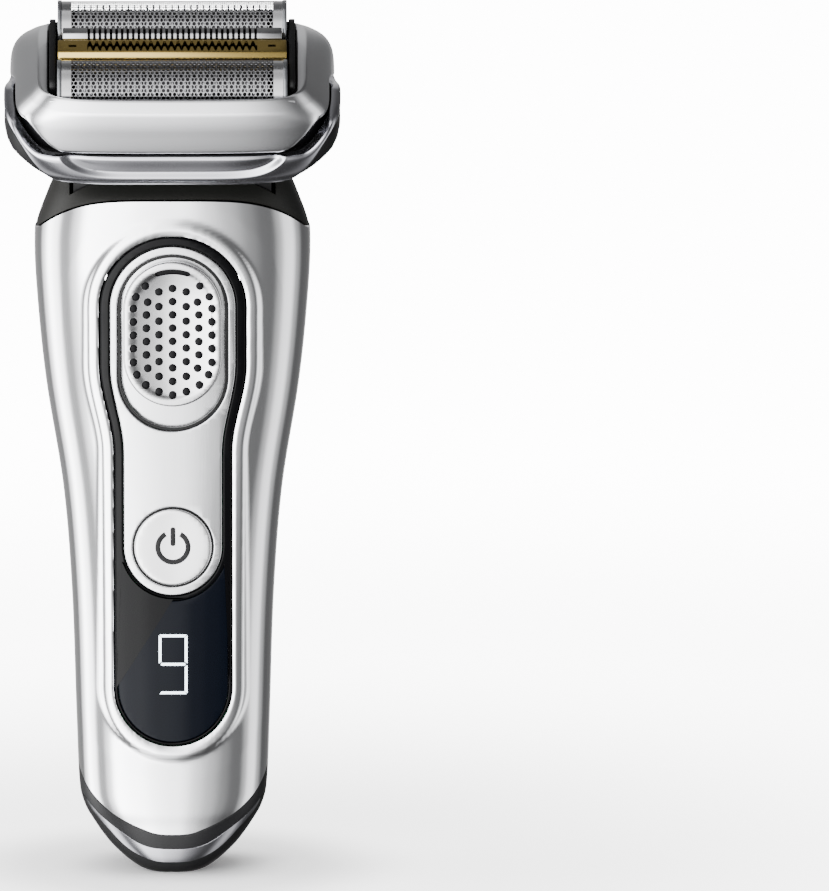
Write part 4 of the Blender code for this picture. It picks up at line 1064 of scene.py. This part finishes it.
def cassette_frame():
    """The silver frame: front face, soft shoulder, bright chamfer and a rim round the foils."""
    angles = plan_angles(400, FRAME_POWER)
    lows = [frame_low(*plan_point(*FRAME_PLAN, angle, FRAME_POWER, 0.0)[:2]) for angle in angles]

    def level(half, deep, height, power=FRAME_POWER):
        return [plan_point(half, deep, angle, power, height) for angle in angles]

    rows = []
    for share in spaced(0.0, 1.0, 14):
        row = []
        for angle, low in zip(angles, lows):
            height = low + (SHOULDER + 0.12 * share - low) * share
            half, deep = between(FRAME_SKIN, height)
            ends = 0.35 * math.exp(-share * (SHOULDER - low) / 0.22)
            row.append(plan_point(half - ends, deep - ends, angle, FRAME_POWER, height))
        rows.append(row)
    rows += [level(half, deep, height) for height, half, deep in FRAME_RIM]
    for share, height in ((0.5, 25.8), (0.85, 25.72), (1.0, 25.45)):
        outside = level(25.2, 17.0, height)
        inside = level(OPENING_HALF, OPENING_DEPTH, height, OPENING_POWER)
        rows.append([
            tuple(a + (b - a) * share for a, b in zip(*ends)) for ends in zip(outside, inside)
        ])
    rows += [level(OPENING_HALF, OPENING_DEPTH, height, OPENING_POWER) for height in (24.6, 22.6)]
    rows += [level(27.9, 17.5, 22.6), level(28.0, 17.6, SHOULDER)]
    rows.append([plan_point(29.7, 18.1, angle, FRAME_POWER, low) for angle, low in zip(angles, lows)])
    rows = [[settled(point) for point in row] for row in rows]
    mesh = grid_mesh("cassette_frame_fine", rows, wrap_rows=True)
    piece("cassette_frame_fine", mesh, "cassette", "silver_frame", ["cassette_frame"], matrix=HEAD)


def foil(name, side, body):
    """A perforated arch: a honeycomb of small hexagonal holes between plain ends."""
    offset = side * FOIL_OFFSET
    columns = int(2 * MESH_HALF / FOIL_PITCH)
    step = 2 * MESH_HALF / columns
    span = math.pi * FOIL_WRAP
    lines = int(FOIL_RADIUS * span / (step * 0.866))
    shape = bmesh.new()

    def on_arch(x, along, radius=FOIL_RADIUS - 0.03):
        angle = math.pi / 2 + span / 2 - along / FOIL_RADIUS
        return (x, offset + radius * math.cos(angle), FOIL_CENTRE + radius * math.sin(angle))

    rise = FOIL_RADIUS * span / (lines + 1)
    known = {}

    def shared(x, along):
        key = (round(x, 3), round(along, 3))
        if key not in known:
            known[key] = shape.verts.new(on_arch(x, along))
        return known[key]

    for j in range(lines):
        along = rise * (j + 1)
        shift = 0.5 if j % 2 else 0.0
        for k in range(columns - (1 if j % 2 else 0)):
            x = -MESH_HALF + step * (k + 0.5 + shift)
            outer, inner = [], []
            for i in range(6):
                turn = math.radians(60 * i + 30)
                across, up = math.cos(turn) * step / math.sqrt(3), math.sin(turn) * rise / 1.5
                outer.append(shared(x + across, along + up))
                inner.append(shape.verts.new(on_arch(x + across * FOIL_HOLE, along + up * FOIL_HOLE)))
            band(shape, outer, inner)
    mesh = with_modifier(to_mesh(name + "_mesh", shape), "SOLIDIFY", thickness=0.09 * MM, offset=0.0)
    piece(name + "_mesh", mesh, body, "foil_steel", [name], matrix=HEAD, sharp=50)

    for end in (-1, 1):
        low, high = sorted((end * (MESH_HALF - 0.35), end * FOIL_HALF))
        rows = []
        for radius, xs in ((FOIL_RADIUS + 0.04, (low, high)), (FOIL_RADIUS - 0.3, (high, low))):
            over = [(offset - radius, FOIL_BASE), *arc((offset, FOIL_CENTRE), radius, 180.0, 0.0, 40)]
            over.append((offset + radius, FOIL_BASE))
            rows += [[(x, a, b) for a, b in over] for x in xs]
        label = "%s_end_%d" % (name, end + 1)
        mesh = capped(grid_mesh(label, rows, wrap_rows=True, wrap_columns=False))
        piece(label, mesh, body, "foil_steel", look=LOOKS["guard_steel"], matrix=HEAD)
        low, high = sorted((end * (FOIL_HALF - 0.75), end * (FOIL_HALF + 0.1)))
        label = "%s_clip_%d" % (name, end + 1)
        mesh = arch_clip(label, low, high, offset, FOIL_RADIUS + 0.22)
        piece(label, mesh, body, look=CLEAR_CLIP, matrix=HEAD)
    for edge, sign in (("low", side), ("high", -side)):
        strip = bent_strip(offset + sign * FOIL_RADIUS, sign)
        piece("%s_strip_%s" % (name, edge), strip, body, "foil_steel", matrix=HEAD)


def bent_strip(along, sign):
    """The plain edge of a foil below its holes: a flat strip with a rolled bead."""
    profile = (
        (0.0, 25.0), (0.05, 24.0), (0.06, FOIL_BASE + 1.9), (0.22, FOIL_BASE + 1.6),
        (0.22, FOIL_BASE + 1.0), (0.0, FOIL_BASE + 0.7), (0.0, FOIL_BASE),
        (-0.3, FOIL_BASE), (-0.3, 24.0), (-0.2, 25.0),
    )
    outline = [(along + sign * out, up) for out, up in profile]
    return softened(prism("strip", outline, 0.4 - FOIL_HALF, FOIL_HALF - 0.4, "X"), 0.06, 2)


def capped(mesh):
    """Closes a mesh's open rims."""
    with editing(mesh) as shape:
        rims = [e for e in shape.edges if e.is_boundary]
        bmesh.ops.holes_fill(shape, edges=rims, sides=0)
        bmesh.ops.recalc_face_normals(shape, faces=shape.faces)
    return mesh


def arch_clip(name, low, high, offset, radius):
    """A solid arch plate with softened edges."""
    outline = [(offset + radius, FOIL_BASE + 0.2), *arc((offset, FOIL_CENTRE), radius, 0.0, 180.0, 40)]
    outline.append((offset - radius, FOIL_BASE + 0.2))
    return softened(prism(name, outline, low, high, "X"), 0.2, 3)


def hat_bar(name, outline, inside, half):
    """A folded bar along X with rounded folds and a hollow under it."""
    bar = softened(prism(name, outline, -half, half, "X"), 0.22, 3)
    return cut_away(bar, prism(name + "_hollow", inside, 0.8 - half, half - 0.8, "X"))


def gold_comb():
    """The gold trimmer: two rows of interleaved teeth with a dark zig-zag between them."""
    outline = [(-4.2, 19.0), (1.4, 19.0), (1.4, 27.0), (0.7, 28.0), (-3.5, 28.0), (-4.2, 27.0)]
    inside = [(-3.8, 18.0), (1.0, 18.0), (1.0, 26.8), (0.5, 27.5), (-3.3, 27.5), (-3.8, 26.8)]
    mesh = hat_bar("comb", outline, inside, FOIL_HALF)
    pitch = 2 * TEETH_HALF / TEETH
    near, far = [], []
    for k in range(TEETH):
        x = -TEETH_HALF + pitch * k
        for edge, root, tip in ((near, -3.0, -1.62), (far, -1.2, 0.25)):
            edge += [(x, root), (x + pitch * 0.22, tip), (x + pitch * 0.5, tip), (x + pitch * 0.78, root)]
    outline = [*near, (TEETH_HALF, -3.0), (TEETH_HALF, -1.2), *reversed(far)]
    teeth = prism("teeth", outline, 27.2, 29.0, "Z")
    ends = boxes("ends", [((x - 0.75, -1.75, 27.0), (x + 0.75, -1.0, 29.0)) for x in (-19.0, 19.0)])
    mesh = cut_away(mesh, teeth, ends)
    piece("trimmer_comb_gold", mesh, "middle_float", "gold_comb", ["trimmer_comb"], matrix=HEAD)


def guard():
    """The polished guard behind the comb, with upright slits and two small slots at each end."""
    outline = [(1.8, 19.0), (4.4, 19.0), (4.4, 25.4), (5.1, 27.3), (4.5, 28.3), (2.5, 28.3), (1.8, 27.5)]
    inside = [(2.2, 18.0), (4.0, 18.0), (4.0, 25.5), (4.6, 27.1), (4.2, 27.8), (2.7, 27.8), (2.2, 27.2)]
    mesh = hat_bar("guard", outline, inside, FOIL_HALF - 0.9)
    places = [SLIT_PITCH * (k - (SLITS - 1) / 2) for k in range(SLITS)]
    slits = [((x - 0.26, 1.0, 26.2), (x + 0.26, 4.7, 29.0)) for x in places]
    ends = [((x - 0.75, 1.0, 26.0), (x + 0.75, 2.6, 26.9)) for x in (-19.7, -17.7, 17.7, 19.7)]
    mesh = cut_away(mesh, boxes("slits", slits), boxes("ends", ends))
    piece("skin_guard_fine", mesh, "middle_float", "guard_steel", ["skin_guard"], matrix=HEAD)
    liner = boxes("guard_liner", [((-20.5, 2.35, 20.0), (20.5, 3.85, 27.2))])
    piece("guard_liner", liner, "middle_float", "black_plastic", matrix=HEAD)


def cutters():
    """The moving blocks under the foils: thin blades, lighter than the bar they sit on, with the steel of
    both painted dark as the shade in the cavity under the foils.
    """
    for name, side in (("front", -1), ("rear", 1)):
        offset = side * FOIL_OFFSET
        body = name + "_cutter"
        shape = bmesh.new()
        for k in range(BLADES):
            x = BLADES_HALF * (2.0 * k / (BLADES - 1) - 1.0)
            half_round(shape, offset, x - 0.16, x + 0.16, 4.55, 3.0)
        mesh = to_mesh("blades_" + name, shape)
        piece("cutter_%s_blades" % name, mesh, body, "steel", ["cutter_" + name], CAVITY_SHADE_BLADE_STEEL, HEAD)
        bar = arc((offset, FOIL_CENTRE), 3.3, 0.0, 180.0, 20)
        bar += [(offset - 3.3, 21.6), (offset + 3.3, 21.6)]
        bridge = boxes("bridge", [((-9.0, offset - 2.6, 17.6), (9.0, offset + 2.6, 22.0))])
        mesh = carve(prism("bar", bar, -18.2, 18.2, "X"), [("UNION", bridge)])
        piece("cutter_%s_bar" % name, mesh, body, look=CAVITY_SHADE_BLOCK_STEEL, matrix=HEAD)


def half_round(shape, offset, low, high, radius, inner):
    """One thin blade: a half ring between two places across."""
    centre = (offset, FOIL_CENTRE)
    outline = arc(centre, radius, -8.0, 188.0, 22) + arc(centre, inner, 188.0, -8.0, 14)
    rings = [[shape.verts.new((x, a, b)) for a, b in outline] for x in (low, high)]
    count = len(outline)
    for k in range(count):
        after = (k + 1) % count
        shape.faces.new((rings[0][k], rings[1][k], rings[1][after], rings[0][after]))
    shape.faces.new(rings[0])
    shape.faces.new(list(reversed(rings[1])))


def carrier():
    """Black carrier with end walls, and the polished rails that edge the foils in the frame."""
    floor = [plan_point(25.8, 15.6, a, HEAD_POWER, 0.0)[:2] for a in plan_angles(120, HEAD_POWER)]
    mesh = prism("carrier", floor, 15.6, 16.8, "Z")
    steps = [("DIFFERENCE", boxes("window", [((-20.3, -13.4, 15.0), (20.3, 13.4, 18.0))]))]
    wall = [(-12.6, 16.0), (12.6, 16.0), (12.6, 22.6)] + arc((8.2, 23.0), 4.0, 0.0, 90.0, 6)
    wall += arc((-11.2, 25.6), 1.4, 90.0, 180.0, 6) + [(-12.6, 25.4)]
    for x in (-1.0, 1.0):
        low, high = sorted((x * 22.2, x * 23.4))
        steps.append(("UNION", softened(prism("end", wall, low, high, "X"), 0.2, 2)))
    piece("foil_carrier_fine", carve(mesh, steps), "cassette", "black_plastic", ["foil_carrier"], matrix=HEAD)
    for name, side, top in (("front", -1, 25.3), ("rear", 1, 21.6)):
        near, far = sorted((side * 15.95, side * 16.3))
        rail = softened(boxes("rail", [((-23.3, near, top - 3.6), (23.3, far, top))]), 0.12, 3)
        piece("foil_rail_" + name, rail, "cassette", "silver_frame", matrix=HEAD)


def release_buttons():
    """Dark side buttons with rounded ends."""
    pad = (
        (27.4, 4.0), (29.2, 5.2), (30.9, 7.4), (31.8, 9.6), (32.1, 11.3),
        (30.0, 11.4), (30.0, 13.6), (28.3, 13.6), (28.3, 8.6),
    )
    middle, level = 28.6, 10.2
    for name, side in (("left", -1), ("right", 1)):
        rows = []
        count = 32
        for k in range(count + 1):
            along = RELEASE_HALF * math.sin(math.pi * (k / count - 0.5))
            share = 0.25 + 0.75 * (1.0 - abs(along / RELEASE_HALF) ** 3.0) ** 0.5
            rows.append([
                (side * (middle + (x - middle) * share), along, level + (z - level) * share) for x, z in pad
            ])
        mesh = softened(grid_mesh("release_" + name, rows, cap=True), 0.3, 3, angle_limit=math.radians(35))
        piece("release_button_%s_fine" % name, mesh, "release_" + name, "charcoal_grip",
              ["release_button_" + name], matrix=HEAD)


# --- long-hair trimmer
def hair_trimmer():
    """The sliding trimmer at the back: a ribbed thumb pad, a steel comb and a toothed blade."""
    low, high, half = 92.4, 123.0, 12.6
    ribs_low, ribs_high, ribs_half = 97.0, 112.0, 8.4
    rows = []
    lines, columns = 150, 64
    for z in spaced(low, high, lines):
        row = []
        for k in range(columns + 1):
            x = half * (1.0 - 2.0 * k / columns)
            edge = min(half - abs(x), z - low, high - z)
            y = back_y(x, z) - 0.5 * math.exp(-edge / 0.35)
            room = (ribs_half - abs(x), z - ribs_low, ribs_high - z)
            if min(room) > 0.0:
                fade = math.prod(min(a / 0.8, 1.0) for a in room)
                y += fade * (0.22 + 0.28 * math.sin((z - ribs_low) / RIB_PITCH * math.tau))
            row.append((x, y, z))
        rows.append(row)
    mesh = skin("trimmer_pad", rows, 3.0)
    piece("trimmer_carriage_fine", mesh, "hair_trimmer", "charcoal_grip", ["trimmer_carriage"])

    for node, body, near, far, top, tooth, reach in (
        ("trimmer_comb_plate", "hair_trimmer", 12.0, 12.8, 131.0, 0.42, 12.0),
        ("trimmer_blade", "hair_blade", 13.2, 13.9, 130.2, 0.36, 10.8),
    ):
        pitch = 2 * (reach - 0.5) / HAIR_TEETH
        outline = [(reach, 123.4), (reach, top - 1.2)]
        for k in range(HAIR_TEETH):
            x, root = reach - 0.5 - pitch * k, top - 2.6
            outline += [(x, top), (x - pitch * tooth, top), (x - pitch * 0.5, root), (x - pitch * 0.9, root)]
        outline += [(-reach, top - 1.2), (-reach, 123.4)]
        piece(node + "_fine", prism(node, outline, near, far), body, "steel", [node])


# --- nodes kept from the CAD
def kept_nodes():
    """Every other CAD node keeps its shape and takes its slot's finish, except the cutters, which take steel
    painted near black as the shade under the foils.
    """
    slots = {s["node"]: s["material_slot"] for s in frame["record"]["subparts"]}
    for name, node in frame["nodes"].items():
        if node.hide_render:
            continue
        node.data.materials.clear()
        # Cutter nodes take the steel painted near black for the shade under the foils.
        node.data.materials.append(CAVITY_SHADE_BLOCK_STEEL if "cutter" in name else LOOKS[slots[name]])
        weld = node.modifiers.new("weld", "WELD")
        weld.merge_threshold = 1e-6
        edge = node.modifiers.new("edge", "BEVEL")
        edge.width = 0.1 * MM
        edge.segments = 2
        edge.limit_method = "ANGLE"
        edge.angle_limit = math.radians(40)
        node.data.shade_smooth()


# --- stage, light, camera
# Painted floor light by distance in metres: the dim patch round the shaver's foot is a painted contact
# shadow, and the floor glows brighter further out.
FLOOR_LIGHT_AND_PAINTED_SHADOW = ((0.0, 0.05), (0.010, 0.15), (0.024, 1.3), (0.05, 3.2), (0.25, 8.5), (0.5, 13.0))

# Light round the shaver: turn from straight ahead in degrees, right positive, and level.
ROUND = (
    (-180, 0.9), (-150, 0.35), (-128, 0.25), (-114, 3.0), (-96, 11.0), (-80, 7.0),
    (-68, 0.8), (-58, 0.7), (-47, 3.0), (-36, 12.0), (-14, 9.5), (-2, 6.0),
    (6, 1.8), (15, 0.9), (28, 0.35), (40, 0.16), (52, 0.14), (62, 0.7),
    (74, 2.2), (86, 2.4), (100, 0.6), (118, 0.08), (150, 0.12), (180, 0.9),
)
# The same light by height: degrees above the horizon, and a share of the level.
HEIGHTS = (
    (-90, 0.05), (-62, 0.11), (-36, 0.4), (-18, 1.0), (8, 0.75),
    (34, 0.65), (50, 0.28), (66, 0.22), (90, 0.30),
)
# Light that comes from every side.
FILL = 0.05

# The camera: millimetres of lens and sensor, and metres seen from edge to edge at the shaver.
LENS = 1100.0
SENSOR = 36.0
VIEW_HEIGHT = 0.1707
ELEVATION = math.radians(9.5)
AIM = Vector((0.0463, 0.0, 0.08148))


def ramp(tree, source, stops):
    """A value that follows stops of place and level along a 0 to 1 source."""
    peak = max(level for _, level in stops)
    colours = add_node(tree, "ValToRGB", Fac=source)
    colours.color_ramp.interpolation = "EASE"
    steps = colours.color_ramp.elements
    while len(steps) < len(stops):
        steps.new(0.5)
    for step, (place, level) in zip(steps, stops):
        step.position = place
        step.color = (level / peak, level / peak, level / peak, 1.0)
    return calc(tree, "MULTIPLY", colours.outputs["Color"], peak)


def stage():
    """A pale floor that sweeps up into a wall all round, with painted light: its glow is low round the
    shaver, a painted contact shadow, and brighter further away.
    """
    sweep = ((0.25, 0.0), (0.6, 0.0), (2.0, 0.0), (9.0, 0.0), (11.0, 0.8), (12.0, 3.0), (12.0, 9.0))
    turns = [math.tau * k / 96 for k in range(96)]
    rows = [
        [(radius / MM * math.cos(turn), radius / MM * math.sin(turn), height / MM) for turn in turns]
        for radius, height in sweep
    ]
    mesh = grid_mesh("floor", rows)
    with editing(mesh) as shape:
        rim = [e for e in shape.edges if e.is_boundary and e.verts[0].co.length < 0.5]
        bmesh.ops.holes_fill(shape, edges=rim, sides=0)
    floor = placed("floor", mesh)
    floor.location.z = -0.05 * MM
    mesh.shade_smooth()
    look = material("pale_floor", (0.86, 0.86, 0.865), 0.55, vary=0.01, scale=60)
    tree = look.node_tree
    reach = add_node(tree, "VectorMath")
    reach.operation = "LENGTH"
    connect(tree, reach.inputs[0], add_node(tree, "TexCoord").outputs["Object"])
    # Emission that grows with distance from the shaver paints the floor's light and the contact shadow under
    # the shaver.
    glow = ramp(tree, reach.outputs["Value"], FLOOR_LIGHT_AND_PAINTED_SHADOW)
    feed(tree, tree.nodes["Principled BSDF"], Emission_Color=(1.0, 1.0, 1.0, 1.0), Emission_Strength=glow)
    mesh.materials.append(look)
    floor.visible_glossy = False
    floor.visible_diffuse = False
    floor.visible_shadow = False


def light():
    """One soft surround: bright and dark bands round the shaver, and a bright ceiling."""
    world = bpy.data.worlds.new("studio")
    bpy.context.scene.world = world
    world.use_nodes = True
    tree = world.node_tree
    place = add_node(tree, "TexCoord").outputs["Generated"]
    across, along, up = add_node(tree, "SeparateXYZ", Vector=place).outputs
    turn = calc(tree, "ARCTAN2", across, calc(tree, "MULTIPLY", along, -1.0))
    share = calc(tree, "MULTIPLY_ADD", turn, 1.0 / math.tau, 0.5)
    around = ramp(tree, share, [((a + 180.0) / 360.0, level) for a, level in ROUND])
    rise = calc(tree, "ARCSINE", up)
    share = calc(tree, "MULTIPLY_ADD", rise, 1.0 / math.pi, 0.5)
    upright = ramp(tree, share, [((a + 90.0) / 180.0, part) for a, part in HEIGHTS])
    level = calc(tree, "MULTIPLY_ADD", around, upright, FILL)
    feed(tree, tree.nodes["Background"], Color=(1.0, 1.0, 1.0, 1.0), Strength=level)


def camera():
    """A long lens a little above the shaver, which stands left of the middle."""
    distance = VIEW_HEIGHT * LENS / SENSOR
    data = bpy.data.cameras.new("camera")
    data.lens = LENS
    data.sensor_width = SENSOR
    data.clip_start, data.clip_end = 0.05, 50.0
    seen = placed("camera", data)
    seen.location = (0.0, -distance * math.cos(ELEVATION), AIM.z + distance * math.sin(ELEVATION))
    seen.rotation_euler = (AIM - seen.location).to_track_quat("-Z", "Y").to_euler()
    bpy.context.scene.camera = seen


front_shell()
rear_shell()
bottom()
collar()
inlay()
slider()
button()
digit()
head_ring()
cassette_frame()
foil("front_foil", -1, "front_float")
foil("rear_foil", 1, "rear_float")
gold_comb()
guard()
carrier()
cutters()
release_buttons()
hair_trimmer()
kept_nodes()
stage()
light()
camera()
